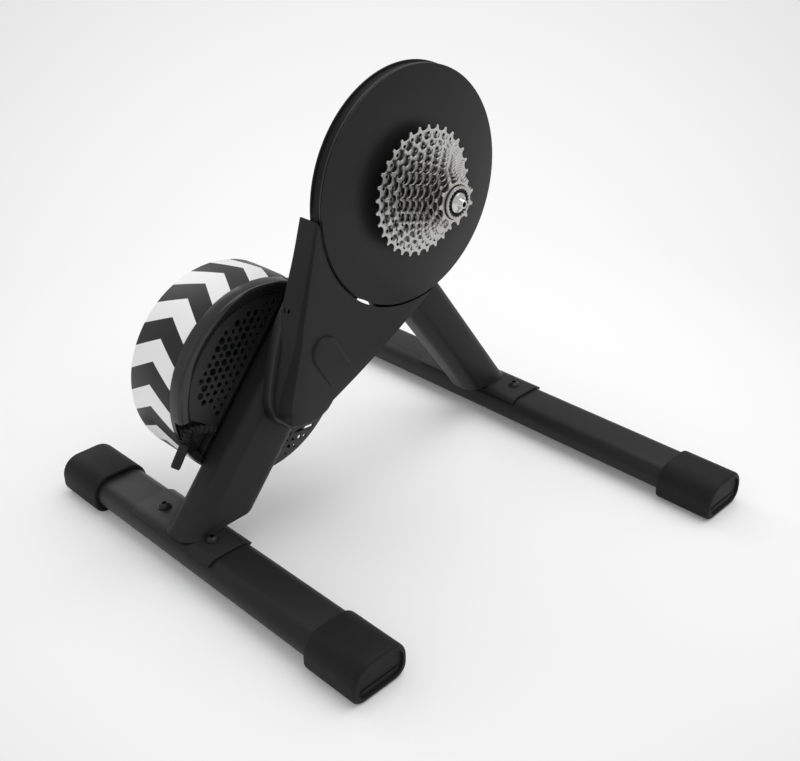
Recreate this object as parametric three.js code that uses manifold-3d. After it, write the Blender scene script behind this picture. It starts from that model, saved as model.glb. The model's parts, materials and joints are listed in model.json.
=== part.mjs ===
// Direct drive bike trainer, in millimetres, +Z up.
// X runs along the bicycle, forward to +X. The sprockets face -Y. The origin lies on
// the floor, midway between the two feet.

import * as THREE from 'three';
import { mergeVertices } from 'three/addons/utils/BufferGeometryUtils.js';
import Module from 'manifold-3d';

const wasm = await Module();
wasm.setup();

// Fits
const seatGap = 0.3;
const runningGap = 0.3;
const overrun = 2;
const sameSpot = 0.003;
const mitreLimit = 0.3;
const wheelSteps = 40;
const partSteps = 20;
const fineSteps = 12;

// Domed screws: the crown's radius and the rim's height, as shares of the head
const screwCrownShare = 0.6;
const screwRimShare = 0.4;

// Feet: oval tubes in rubber boots
const footSpan = 462;
const footLength = 624;
const rearFootLength = 484.6;
const rearFootMargin = 62;
const tubeWidth = 61;
const tubeHeight = 32.7;
const tubeWall = 2.5;
const capLength = 68;
const capSideWall = 3.1;
const capSole = 5.7;
const capTopWall = 4.4;
const capEndWall = 6;

// Saddle plates over the feet, and their bolts
const saddleThickness = 3;
const saddleWrapAngle = 46;
const saddleLength = 135;
const frontSaddleLength = 160;
const saddleBoltRadius = 4;
const saddleBoltHead = 7.2;
const saddleBoltHeadRise = 4.4;
const saddleBoltReach = 16;
const saddleBoltInset = 2;
const rearNearBoltLead = 8.5;
const rearFarBoltMargin = 25.5;
const frontBoltMargin = 23;
const rearSaddleNearShare = 0.386;
const frontSaddleNearShare = 0.397;

// Legs: rounded rectangular tubes, leaning to a mitre
const legDepth = 43;
const legCornerRadius = 15;
const legWall = 3;
const rearLegWidth = 70.7;
const rearLegLean = 50.21;
const rearLegInset = 19.5;
const frontLegWidth = 54.5;
const frontLegLean = 53.23;
const frontLegInset = 16.8;
const legTopHeight = 300;
const legTopCapThickness = 4;

// Hub axis and flywheel axis
const wheelLead = 142.9;
const hubRise = 59;
const shaftSetback = 4.011;
const shaftDrop = 138.1;

// Housing: front face, walls and running arc round the wheel
const housingFront = -21;
const housingDepth = 26;
const housingWall = 2.3;
const housingArcGap = 1.8;
const bossRadius = 16;
const bossRise = 3;
const bossRun = 50;
const bossLength = 40;
const bossLean = -59.3;
const wallBulge = 7.9;
const housingPostRadius = 5;
const sideScrewHead = 3;
const sideScrewRise = 1.6;
const sideScrewRadius = 1.5;
const sideScrewBite = 8;

// Frame plate
const plateThickness = 11.9;
const hubBossRadius = 26;
const hubBossRise = 8.2;
const plateHubRadius = 44;
const frameBoltRadius = 4;
const frameBoltHead = 6.5;
const frameBoltHeadRise = 4.5;
const frameBoltBite = 9;
const plateHubFrom = 290;
const plateHubTo = 500;

// Wheel cover and drive pulley
const coverStandoff = 1.9;
const coverThickness = 2.4;
const wheelRadius = 124.2;
const coverBoreRadius = 20;
const beltSideGap = 1.2;
const beltWidth = 9.8;
const beltThickness = 2.3;
const flangeThickness = 1.4;
const pulleyRimDepth = 6.7;
const pulleyFlangeRise = 4.9;
const pulleyWebThickness = 3;
const pulleyWebInset = 4.2;
const pulleyHubRadius = 30;
const pulleyHubDepth = 15.2;
const smallPulleyRadius = 9.5;
const beltSteps = 36;

// Axle, with its ends in the dropouts
const axleRadius = 7.5;
const axleBoreRadius = 2.7;
const axleSeatRadius = 11;
const axleCollarRadius = 15;
const axleCollarThickness = 1.6;
const dropoutWidth = 130;
const dropoutMiddle = -22;
const capNoseRadius = 4.95;
const capNoseLength = 5;
const capSteps = 32;
const driveCapRadius = 10.1;
const driveCapLength = 8;
const farCapRadius = 9.5;
const farCapLength = 6;
const axleNutRadius = 14;
const axleNutThickness = 6;
const nutSides = 6;

// Bearings
const bearingPlay = 0.2;
const bearingWidth = 4;
const pulleyBearingRadius = 14;

// Cassette
const chainPitch = 12.7;
const toothCounts = [32, 28, 25, 22, 20, 18, 16, 14, 13, 12, 11];
const bigCogBehind = 14.1;
const cogPitch = 4.4;
const cogThickness = 1.8;
const toothRise = 2.2;
const toothValley = 3.96;
const splineRadius = 16.4;
const splineDepth = 1.1;
const splineCount = 9;
const splineLandShare = 0.62;
const splineGrooveShares = [0.66, 0.96];
const freehubWall = 3.2;
const freehubCollarRadius = 18.4;
const freehubCollarLength = 9;
const freehubNoseRadius = 13.4;
const freehubNoseLength = 7.5;
const freehubNoseGap = 1;
const carrierSleeveWall = 0.7;
const spacerMargin = 0.6;
const spacerRadiusLimit = 34;
const lockringRadius = 16.8;
const lockringThickness = 2.6;
const lockringSkirt = 6;
const lockringWall = 1.1;
const ratchetTeeth = 24;
const ratchetToothDepth = 1;
const ratchetRingRadius = 17;
const ratchetRampShare = 0.8;
const pawlCount = 3;
const pawlWidth = 5;
const pawlThickness = 2.2;
const springThickness = 0.8;

// Idler against the inside of the belt's long run
const idlerShareX = 0.129;
const idlerShareZ = 0.287;
const idlerBoltRadius = 4;
const idlerBoltHead = 7;
const idlerBoltHeadRise = 0.5;
const idlerShoulderRadius = 8;

// Flywheel, its shaft and the tube that carries it
const shaftRadius = 7.5;
const shaftNoseRadius = 5;
const shaftEndRadius = 10;
const shaftFlangeThickness = 4.2;
const shaftBearingRadius = 17.5;
const shaftBearingWidth = 11;
const carrierRadius = 21;
const carrierWall = 1.9;
const carrierLead = 8.3;
const carrierReach = 50;
const drumRadius = 110.5;
const drumWidth = 68.8;
const drumRimThickness = 11.8;
const drumWebThickness = 6;
const drumHubRadius = 26;
const drumHubDepth = 13.3;
const drumEdgeRound = 2;
const flywheelNutRadius = 15;
const flywheelNutThickness = 8;

// Fixed vented cover of the flywheel
const coverLead = 6.1;
const channelWall = 2;
const ventFaceRadius = 97.5;
const coverRidgeRadius = 107.8;
const coverRidgeRise = 1.6;
const coverRidgeRun = 3.2;
const coverRimDrop = 2.4;
const ventPlateThickness = 2.5;
const coverRimLength = 16.6;
const coverRimWall = 2.5;
const ventRadius = 3.6;
const ventPitch = 16.6;
const ventInnerRadius = 46;
const ventMargin = 4.5;
const pocketVentClear = 28;
const pocketNearAngle = -176;
const pocketFarAngle = -146;
const pocketInnerRadius = 78;
const pocketDepth = 9;
const pocketWall = 1.6;

// Eddy current brake and its board, inside the drum
const coreHubRadius = 40;
const coreStart = 12;
const coreDepth = 34;
const poleThickness = 8;
const poleCount = 10;
const coreSteps = 40;
const poleAirGap = 1.6;
const poleSlotWidth = 12;
const poleSlotMargin = 4;
const coilRadius = 74;
const boardInnerRadius = 50;
const boardOuterRadius = 90;
const boardThickness = 1.6;
const boardStandoff = 2;
const boardPostRadius = 3;
const boardStartAngle = 62;
const boardEndAngle = 162;
const boardPostInset = 12;

// Power inlet: a ribbed boot out of the cover's pocket, and its connector
const bootRadius = 4.1;
const bootRibRise = 1.1;
const bootRibs = 6;
const bootSides = 8;
const bootRootAngle = -162.5;
const bootRun = [-24.4, 2.6];
const bootDrop = [-9.8, -10.7];
const connectorRadius = 6;
const connectorLength = 25;
const connectorBoreRadius = 2.8;
const connectorBoreDepth = 10;

// Stations along Y, worked out from the housing's front backwards
const housingBack = housingFront + housingDepth;
const plateFront = housingBack + seatGap;
const plateBack = plateFront + plateThickness;
const legNear = plateBack + seatGap;
const legFar = legNear + legDepth;
const coverFront = legFar - coverLead;
const ventFace = coverFront + coverRidgeRise;
const ventBack = ventFace + ventPlateThickness;
const channelFloor = legFar + seatGap;
const channelBack = channelFloor + ventPlateThickness;
const coverBack = coverFront + coverRimLength;
const drumNear = coverBack + runningGap;
const drumFar = drumNear + drumWidth;
const discFront = housingFront - coverStandoff;
const discBack = discFront + coverThickness;
const pulleyFront = discBack + seatGap;
const beltNear = housingFront + housingWall + beltSideGap;
const beltFar = beltNear + beltWidth;
const flangeNear = beltFar + runningGap;
const pulleyHubBack = pulleyFront + pulleyHubDepth;
const bossFront = plateFront - hubBossRise;
const bossBack = plateBack + hubBossRise;
const nearDropout = dropoutMiddle - dropoutWidth / 2;
const farDropout = dropoutMiddle + dropoutWidth / 2;
const bigCogY = discFront - bigCogBehind;
const smallCogY = bigCogY - cogPitch * (toothCounts.length - 1);

// Stations up Z
const capWidth = tubeWidth + 2 * (seatGap + capSideWall);
const capHeight = capSole + capTopWall + tubeHeight + 2 * seatGap;
const tubeBottom = capSole + seatGap;
const tubeTop = tubeBottom + tubeHeight;
const saddleTop = tubeTop + seatGap + saddleThickness;
const legBottom = saddleTop + seatGap;

// The belt's path
const pulleyRadius = wheelRadius - pulleyFlangeRise;
const bigBeltRadius = pulleyRadius + runningGap;
const smallBeltRadius = smallPulleyRadius + runningGap;

const rearFootX = -footSpan / 2;
const frontFootX = footSpan / 2;
const nearEnd = -footLength / 2;
const farEnd = footLength / 2;
const rearFarEnd = farEnd - rearFootMargin;
const rearNearEnd = rearFarEnd - rearFootLength;
const degrees = Math.PI / 180;
const hubHeight = legTopHeight + hubRise;
const shaftHeight = legTopHeight - shaftDrop;
const shaftAlongLeg = (shaftHeight - tubeTop - saddleThickness) / Math.tan(rearLegLean * degrees);
const shaftX = rearFootX + rearLegInset + shaftAlongLeg - shaftSetback;
const hubX = shaftX + wheelLead;
const hub = new THREE.Vector2(hubX, hubHeight);
const shaft = new THREE.Vector2(shaftX, shaftHeight);

// Materials
const satinBlack = new THREE.MeshStandardMaterial({ color: 0x343436, roughness: 0.45, metalness: 0.1 });
const moulded = new THREE.MeshStandardMaterial({ color: 0x2b2b2d, roughness: 0.6, metalness: 0 });
const rubberBlack = new THREE.MeshStandardMaterial({ color: 0x1e1e20, roughness: 0.8, metalness: 0 });
const blackBolt = new THREE.MeshStandardMaterial({ color: 0x1a1a1c, roughness: 0.4, metalness: 0.6 });
const nickelSteel = new THREE.MeshStandardMaterial({ color: 0xb9b6b3, roughness: 0.3, metalness: 0.9 });
const bareSteel = new THREE.MeshStandardMaterial({ color: 0x8f9296, roughness: 0.4, metalness: 0.9 });
const blackAluminium = new THREE.MeshStandardMaterial({ color: 0x242426, roughness: 0.45, metalness: 0.3 });
const redSpacer = new THREE.MeshStandardMaterial({ color: 0x8a4a3a, roughness: 0.45, metalness: 0.6 });
const whiteBand = new THREE.MeshStandardMaterial({ color: 0xe4e4e4, roughness: 0.5, metalness: 0 });
const copper = new THREE.MeshStandardMaterial({ color: 0xa8622f, roughness: 0.4, metalness: 0.8 });
const boardGreen = new THREE.MeshStandardMaterial({ color: 0x1f5a34, roughness: 0.5, metalness: 0 });

const trainer = new THREE.Group();
const hubGroup = new THREE.Group();
const shaftGroup = new THREE.Group();
hubGroup.position.set(hubX, 0, hubHeight);
shaftGroup.position.set(shaftX, 0, shaftHeight);
trainer.add(hubGroup, shaftGroup);

// Solids

function solidOf(geometry) {
  const bare = geometry.index ? geometry.toNonIndexed() : geometry.clone();
  bare.deleteAttribute('normal');
  bare.deleteAttribute('uv');
  const merged = mergeVertices(bare);
  const corners = Array.from(merged.index.array);
  const triangles = [];
  for (let i = 0; i < corners.length; i += 3) {
    const [a, b, c] = corners.slice(i, i + 3);
    if (a !== b && b !== c && c !== a) triangles.push(a, b, c);
  }
  return new wasm.Manifold(new wasm.Mesh({
    numProp: 3,
    vertProperties: new Float32Array(merged.attributes.position.array),
    triVerts: new Uint32Array(triangles),
  }));
}

function addPiece(name, solid, material, group = trainer) {
  const source = solid.getMesh();
  const geometry = new THREE.BufferGeometry();
  geometry.setAttribute('position', new THREE.BufferAttribute(new Float32Array(source.vertProperties), 3));
  geometry.setIndex(new THREE.BufferAttribute(new Uint32Array(source.triVerts), 1));
  geometry.computeVertexNormals();
  const mesh = new THREE.Mesh(geometry, material);
  mesh.name = name;
  group.add(mesh);
}

function joined(solids) {
  return solids.reduce((whole, solid) => whole.add(solid));
}

function point(x, y) {
  return new THREE.Vector2(x, y);
}

// A solid of revolution about the Y axis; profile points are (radius, y)
function turned(profile, steps = partSteps) {
  const points = profile.map(([radius, y]) => point(radius, y));
  if (THREE.ShapeUtils.area(points) < 0) points.reverse();
  return solidOf(new THREE.LatheGeometry([...points, points[0].clone()], steps));
}

function ring(outer, inner, near, far, steps = partSteps) {
  return turned([[inner, near], [outer, near], [outer, far], [inner, far]], steps);
}

function rod(radius, near, far, steps = partSteps) {
  return ring(radius, 0, near, far, steps);
}

// A flat outline in X and Z, given depth along Y
function prism(outline, near, far, holes = []) {
  const shape = new THREE.Shape(outline);
  shape.holes = holes.map((hole) => new THREE.Path(hole));
  const geometry = new THREE.ExtrudeGeometry(shape, { depth: far - near, bevelEnabled: false });
  return solidOf(geometry.rotateX(Math.PI / 2).translate(0, far, 0));
}

function arcPoints(centre, radius, from, to, steps = fineSteps) {
  const points = [];
  for (let i = 0; i <= steps; i += 1) {
    const angle = (from + (to - from) * i / steps) * degrees;
    points.push(point(centre.x + radius * Math.cos(angle), centre.y + radius * Math.sin(angle)));
  }
  return points;
}

function polar(radius, angle) {
  return point(radius * Math.cos(angle * degrees), radius * Math.sin(angle * degrees));
}

// The corners of a regular polygon about the origin
function circle(radius, steps = partSteps) {
  return arcPoints(point(0, 0), radius, 0, 360, steps).slice(0, -1);
}

// A rectangle with round corners about a centre, anticlockwise
function roundedRectangle(centre, width, height, radius, steps = fineSteps / 2) {
  const r = Math.min(radius, width / 2, height / 2);
  const x = width / 2 - r;
  const y = height / 2 - r;
  const corners = [[x, y], [-x, y], [-x, -y], [x, -y]];
  const points = corners.flatMap(([cx, cy], quarter) => (
    arcPoints(point(centre.x + cx, centre.y + cy), r, quarter * 90, quarter * 90 + 90, steps)));
  return points.filter((p, i) => p.distanceTo(points[(i + 1) % points.length]) > sameSpot);
}

// A closed body through rings of the same number of points
function loft(rings) {
  const count = rings[0].length;
  const positions = [];
  const emit = (...corners) => corners.forEach((corner) => positions.push(corner.x, corner.y, corner.z));
  for (let k = 0; k + 1 < rings.length; k += 1) {
    for (let i = 0; i < count; i += 1) {
      const next = (i + 1) % count;
      emit(rings[k][i], rings[k][next], rings[k + 1][next]);
      emit(rings[k][i], rings[k + 1][next], rings[k + 1][i]);
    }
  }
  capTriangles(rings[0]).forEach(([a, b, c]) => emit(rings[0][a], rings[0][c], rings[0][b]));
  const last = rings[rings.length - 1];
  capTriangles(last).forEach(([a, b, c]) => emit(last[a], last[b], last[c]));
  if (signedVolume(positions) < 0) {
    for (let i = 0; i < positions.length; i += 9) {
      const second = positions.slice(i + 3, i + 6);
      positions.splice(i + 3, 6, ...positions.slice(i + 6, i + 9), ...second);
    }
  }
  const geometry = new THREE.BufferGeometry();
  geometry.setAttribute('position', new THREE.Float32BufferAttribute(positions, 3));
  return solidOf(geometry);
}

// Triangles over a flat ring, wound as the ring is
function capTriangles(ringPoints) {
  const normal = new THREE.Vector3();
  ringPoints.forEach((p, i) => normal.add(p.clone().cross(ringPoints[(i + 1) % ringPoints.length])));
  const sizes = [Math.abs(normal.x), Math.abs(normal.y), Math.abs(normal.z)];
  const dropped = sizes.indexOf(Math.max(...sizes));
  const flat = ringPoints.map((p) => point(...p.toArray().filter((value, axis) => axis !== dropped)));
  const turn = Math.sign(THREE.ShapeUtils.area(flat));
  return THREE.ShapeUtils.triangulateShape(flat, []).map(([a, b, c]) => (
    Math.sign(THREE.ShapeUtils.area([flat[a], flat[b], flat[c]])) === turn ? [a, b, c] : [a, c, b]));
}

function signedVolume(positions) {
  let volume = 0;
  for (let i = 0; i < positions.length; i += 9) {
    const [a, b, c] = [0, 3, 6].map((k) => new THREE.Vector3(...positions.slice(i + k, i + k + 3)));
    volume += a.dot(b.cross(c));
  }
  return volume;
}

// An outline moved inwards by an even distance
function inset(outline, distance) {
  const count = outline.length;
  const turn = Math.sign(THREE.ShapeUtils.area(outline));
  return outline.map((p, i) => {
    const before = p.clone().sub(outline[(i + count - 1) % count]).normalize();
    const after = outline[(i + 1) % count].clone().sub(p).normalize();
    const inward = point(-before.y - after.y, before.x + after.x).multiplyScalar(turn).normalize();
    const sine = inward.x * -before.y * turn + inward.y * before.x * turn;
    return p.clone().addScaledVector(inward, distance / Math.max(sine, mitreLimit));
  });
}

function at(outline, y) {
  return outline.map((p) => new THREE.Vector3(p.x, y, p.y));
}

// A point by its shares of the way from the flywheel axis to the hub axis
function between(shareX, shareZ) {
  return point(shaft.x + (hub.x - shaft.x) * shareX, shaft.y + (hub.y - shaft.y) * shareZ);
}

// A domed screw along Y: its head rises towards -Y from the seat
function screw(radius, headRadius, headRise, length, steps = fineSteps) {
  return turned([
    [0, length], [0, -headRise], [headRadius * screwCrownShare, -headRise],
    [headRadius, -headRise * screwRimShare], [headRadius, 0], [radius, 0], [radius, length],
  ], steps);
}

function copies(count, radius, solid) {
  return Array.from({ length: count }, (_, i) => (
    solid.translate([radius, 0, 0]).rotate([0, -i * 360 / count, 0])));
}

// Feet

const tubeCentreZ = tubeBottom + tubeHeight / 2;

function ovalOutline(x, grow = 0) {
  const size = [tubeWidth + 2 * grow, tubeHeight + 2 * grow];
  return roundedRectangle(point(x, tubeCentreZ), ...size, size[1] / 2);
}

function makeFoot(name, x, near, far) {
  const tubeNear = near + capEndWall + seatGap;
  const tubeFar = far - capEndWall - seatGap;
  const bolts = saddleBoltPlaces(name);
  const holes = bolts.map((place) => boltAlongZ(place, saddleBoltRadius + seatGap, overrun));
  const tube = prism(ovalOutline(x), tubeNear, tubeFar)
    .subtract(prism(ovalOutline(x, -tubeWall), tubeNear - overrun, tubeFar + overrun));
  addPiece(`${name}_foot_tube`, holes.reduce((body, hole) => body.subtract(hole), tube), satinBlack);
  const cavity = prism(ovalOutline(x, seatGap), tubeNear - seatGap, tubeFar + seatGap);
  makeFootCap(`${name}_foot_cap_near`, x, near, near + capLength, cavity);
  makeFootCap(`${name}_foot_cap_far`, x, far - capLength, far, cavity);
}

function makeFootCap(name, x, near, far, cavity) {
  const outer = roundedRectangle(point(x, capHeight / 2), capWidth, capHeight, capHeight / 2);
  addPiece(name, prism(outer, near, far).subtract(cavity), rubberBlack);
}

// Saddle plates, each with two bolts down into its foot

const rearSaddleNear = legNear - (saddleLength - legDepth) * rearSaddleNearShare;
const frontSaddleNear = legNear - (frontSaddleLength - legDepth) * frontSaddleNearShare;

function saddleBoltPlaces(name) {
  const rear = name === 'rear';
  const x = rear ? rearFootX - saddleBoltInset : frontFootX + saddleBoltInset;
  const first = rear ? legNear - rearNearBoltLead : frontSaddleNear + frontBoltMargin;
  const last = rear
    ? rearSaddleNear + saddleLength - rearFarBoltMargin
    : frontSaddleNear + frontSaddleLength - frontBoltMargin;
  return [first, last].map((y) => new THREE.Vector3(x, y, saddleTop));
}

function boltAlongZ(place, radius, rise) {
  return rod(radius, -rise - saddleBoltReach, rise, fineSteps)
    .rotate([90, 0, 0]).translate(place.toArray());
}

function makeSaddle(name, x, near, far) {
  const radius = tubeHeight / 2 + seatGap;
  const outer = radius + saddleThickness;
  const offset = tubeWidth / 2 - tubeHeight / 2;
  const right = point(x + offset, tubeCentreZ);
  const left = point(x - offset, tubeCentreZ);
  const wrap = [90 - saddleWrapAngle, 90];
  const outline = [
    ...arcPoints(right, outer, wrap[0], wrap[1], fineSteps / 2),
    ...arcPoints(left, outer, 180 - wrap[1], 180 - wrap[0], fineSteps / 2),
    ...arcPoints(left, radius, 180 - wrap[0], 180 - wrap[1], fineSteps / 2),
    ...arcPoints(right, radius, wrap[1], wrap[0], fineSteps / 2),
  ];
  const places = saddleBoltPlaces(name);
  const holes = places.map((place) => boltAlongZ(place, saddleBoltRadius + seatGap, overrun));
  const plate = holes.reduce((body, hole) => body.subtract(hole), prism(outline, near, far));
  addPiece(`${name}_saddle_plate`, plate, satinBlack);
  const bolt = screw(saddleBoltRadius, saddleBoltHead, saddleBoltHeadRise, saddleBoltReach)
    .translate([0, -seatGap, 0]).rotate([-90, 0, 0]);
  addPiece(`${name}_saddle_bolt_near`, bolt.translate(places[0].toArray()), blackBolt);
  addPiece(`${name}_saddle_bolt_far`, bolt.translate(places[1].toArray()), blackBolt);
}

// Legs

const rearLegDirection = point(Math.cos(rearLegLean * degrees), Math.sin(rearLegLean * degrees));
const frontLegDirection = point(-Math.cos(frontLegLean * degrees), Math.sin(frontLegLean * degrees));
const rearLegFoot = point(rearFootX + rearLegInset, tubeTop + saddleThickness);
const frontLegFoot = point(frontFootX - frontLegInset, tubeTop + saddleThickness);
const mitreX = meetingX();

// Where the two legs' centre lines meet
function meetingX() {
  const rearSlope = rearLegDirection.y / rearLegDirection.x;
  const frontSlope = frontLegDirection.y / frontLegDirection.x;
  const rise = frontLegFoot.y - rearLegFoot.y;
  return (rise + rearSlope * rearLegFoot.x - frontSlope * frontLegFoot.x) / (rearSlope - frontSlope);
}

function legPoint(along, across) {
  const x = shaft.x + rearLegDirection.x * along - rearLegDirection.y * across;
  return point(x, shaft.y + rearLegDirection.y * along + rearLegDirection.x * across);
}

function legTube(foot, direction, width, grow) {
  const reach = footSpan;
  const across = new THREE.Vector3(-direction.y, 0, direction.x);
  const depthCentre = (legNear + legFar) / 2;
  const section = roundedRectangle(point(0, depthCentre), width + 2 * grow, legDepth + 2 * grow,
    legCornerRadius + grow);
  const rings = [-reach, reach].map((along) => section.map((p) => new THREE.Vector3(
    foot.x + direction.x * along + across.x * p.x,
    p.y,
    foot.y + direction.y * along + across.z * p.x,
  )));
  return loft(rings);
}

function box(lowX, highX, lowY, highY, lowZ, highZ) {
  const geometry = new THREE.BoxGeometry(highX - lowX, highY - lowY, highZ - lowZ);
  return solidOf(geometry.translate((lowX + highX) / 2, (lowY + highY) / 2, (lowZ + highZ) / 2));
}

function makeLeg(name, foot, direction, width, lowX, highX, cuts) {
  const reach = footSpan;
  const space = box(lowX, highX, legNear - reach, legFar + reach, legBottom, legTopHeight);
  const tube = legTube(foot, direction, width, 0).subtract(legTube(foot, direction, width, -legWall));
  addPiece(name, cuts.reduce((body, cut) => body.subtract(cut), tube.intersect(space)), satinBlack);
}

function makeLegs() {
  const cuts = [
    rod(carrierRadius + seatGap, legNear - overrun, legFar + overrun).translate([shaft.x, 0, shaft.y]),
    ...frameBoltPlaces.map((place) => frameBolt(seatGap).translate([place.x, 0, place.y])),
  ];
  const half = seatGap / 2;
  makeLeg('rear_leg', rearLegFoot, rearLegDirection, rearLegWidth, -footSpan, mitreX - half, cuts);
  makeLeg('front_leg', frontLegFoot, frontLegDirection, frontLegWidth, mitreX + half, footSpan, []);
}

function makeLegTopCap() {
  const half = (width, direction) => width / 2 / direction.y;
  const rearX = rearLegFoot.x + (legTopHeight - rearLegFoot.y) * rearLegDirection.x / rearLegDirection.y;
  const frontX = frontLegFoot.x + (legTopHeight - frontLegFoot.y) * frontLegDirection.x / frontLegDirection.y;
  const left = rearX - half(rearLegWidth, rearLegDirection);
  const right = frontX + half(frontLegWidth, frontLegDirection);
  const centre = point((left + right) / 2, (legNear + legFar) / 2);
  const outline = roundedRectangle(centre, right - left, legDepth, legCornerRadius);
  const low = legTopHeight + seatGap;
  const rings = [low, low + legTopCapThickness].map((z) => (
    outline.map((p) => new THREE.Vector3(p.x, p.y, z))));
  addPiece('leg_top_cap', loft(rings), moulded);
}

// Frame plate, the tube that carries the flywheel shaft, and the bolts into the leg

const shaftToLegTop = (legTopHeight - shaftHeight) / rearLegDirection.y;
const frameBoltShares = [[0.289, -0.17], [0.8655, 0.27]];
const frameBoltPlaces = frameBoltShares.map(([along, across]) => (
  legPoint(shaftToLegTop * along, rearLegWidth * across)));
const housingPostShares = [[-0.063, 0.371], [0.167, 0.651]];
const bossShares = [0.128, 0.288];
const sideScrewEdgeShares = [[-0.086, 0.454], [0.011, 0.556]];
const idler = between(idlerShareX, idlerShareZ);

function plateOutline() {
  const edgeShares = [
    [0.167, 0.733], [0.011, 0.556], [-0.086, 0.454], [-0.165, 0.305], [-0.218, 0.147], [-0.239, 0.035],
    [-0.22, -0.043], [-0.188, -0.09], [-0.126, -0.128], [-0.018, -0.192], [0.248, -0.182], [0.374, -0.11],
    [0.454, -0.007], [0.473, 0.28], [0.54, 0.455], [0.577, 0.493], [0.654, 0.508], [0.752, 0.447],
    [0.801, 0.351], [0.864, 0.264], [1.017, 0.224], [1.171, 0.254], [1.241, 0.371], [1.2, 0.65],
  ];
  return [
    ...arcPoints(hub, plateHubRadius, plateHubFrom, plateHubTo),
    ...edgeShares.map(([shareX, shareZ]) => between(shareX, shareZ)),
  ];
}

function makeFramePlate() {
  const hubBoss = rod(hubBossRadius, bossFront, bossBack).translate([hub.x, 0, hub.y]);
  const hubBore = rod(axleSeatRadius + seatGap, bossFront - overrun, bossBack + overrun)
    .translate([hub.x, 0, hub.y]);
  const shaftBore = rod(carrierRadius + seatGap, plateFront - overrun, plateBack + overrun)
    .translate([shaft.x, 0, shaft.y]);
  const across = (radius, place) => rod(radius, plateFront - overrun, plateBack + overrun, fineSteps)
    .translate([place.x, 0, place.y]);
  const cuts = [
    hubBore, shaftBore,
    ...frameBoltPlaces.map((place) => across(frameBoltRadius + seatGap, place)),
    across(idlerBoltRadius + seatGap, idler),
    sideScrew(seatGap),
  ];
  const body = prism(plateOutline(), plateFront, plateBack).add(hubBoss);
  addPiece('frame_plate', cuts.reduce((plate, cut) => plate.subtract(cut), body), blackAluminium);
}

function frameBolt(grow) {
  const length = plateThickness + seatGap + frameBoltBite + grow;
  return screw(frameBoltRadius + grow, frameBoltHead, frameBoltHeadRise, length)
    .translate([0, plateFront - seatGap, 0]);
}

function makeFrameBolts() {
  const names = ['frame_bolt_lower', 'frame_bolt_upper'];
  frameBoltPlaces.forEach((place, i) => {
    addPiece(names[i], frameBolt(0).translate([place.x, 0, place.y]), blackBolt);
  });
}

function makeBearingHousing() {
  const near = plateFront - carrierLead;
  const far = legFar + carrierReach;
  const seat = shaftBearingRadius + seatGap;
  const bore = carrierRadius - carrierWall - 2 * (carrierRadius - carrierWall - shaftBearingRadius + seatGap);
  const profile = [
    [carrierRadius, near], [carrierRadius, far], [seat, far], [seat, far - shaftBearingWidth],
    [bore, far - shaftBearingWidth], [bore, near + shaftBearingWidth], [seat, near + shaftBearingWidth],
    [seat, near],
  ];
  addPiece('bearing_housing', turned(profile), bareSteel, shaftGroup);
  const width = shaftBearingWidth - seatGap;
  const bearing = (from) => ring(shaftBearingRadius, shaftRadius + bearingPlay, from, from + width);
  addPiece('shaft_bearing_near', bearing(near), nickelSteel, shaftGroup);
  addPiece('shaft_bearing_far', bearing(far - shaftBearingWidth + seatGap), nickelSteel, shaftGroup);
}

// Housing front with its arc, walls, posts and raised boss

function housingOutline(bulge) {
  const leftEdgeShares = [
    [0.111, 0.979, 0], [0.053, 0.796, 0.3], [-0.005, 0.608, 0.9], [-0.046, 0.486, 1],
    [-0.091, 0.332, 0.5], [-0.182, 0.095, 0.25], [-0.199, -0.004, 0.1], [-0.198, -0.059, 0],
  ];
  const cornerShares = [
    [-0.19, -0.063], [-0.137, -0.081], [-0.046, -0.084], [0.052, -0.083], [0.115, -0.063],
  ];
  const lowerEdgeShares = [[0.181, -0.026], [0.724, 0.143], [1.241, 0.38]];
  const lowerEdge = new THREE.QuadraticBezierCurve(...lowerEdgeShares.map((shares) => between(...shares)));
  const upperCornerShares = [1.096, 0.897];
  return [
    ...leftEdgeShares.map(([shareX, shareZ, out]) => between(shareX, shareZ).sub(point(bulge * out, 0))),
    ...cornerShares.map(([shareX, shareZ]) => between(shareX, shareZ)),
    ...lowerEdge.getPoints(fineSteps / 2),
    between(...upperCornerShares),
  ];
}

function makeHousing() {
  const front = housingOutline(0);
  const back = housingOutline(wallBulge);
  const shell = loft([at(front, housingFront), at(back, housingBack)]);
  const inside = loft([
    at(inset(front, housingWall), housingFront + housingWall),
    at(inset(back, housingWall), housingBack + overrun),
  ]);
  const arcFront = housingFront - overrun - bossRise;
  const arc = rod(wheelRadius + housingArcGap, arcFront, housingBack + overrun, wheelSteps)
    .translate([hub.x, 0, hub.y]);
  const post = rod(housingPostRadius, housingFront + housingWall / 2, plateFront - seatGap, fineSteps);
  const posts = housingPostShares.map((shares) => between(...shares))
    .map((place) => post.translate([place.x, 0, place.y]));
  const tubeNotch = rod(carrierRadius + seatGap, plateFront - carrierLead - seatGap, housingBack + overrun)
    .translate([shaft.x, 0, shaft.y]);
  const body = joined([shell.subtract(inside), ...posts, raisedBoss()]).subtract(arc).subtract(tubeNotch);
  addPiece('housing_front', body, satinBlack);
}

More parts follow.
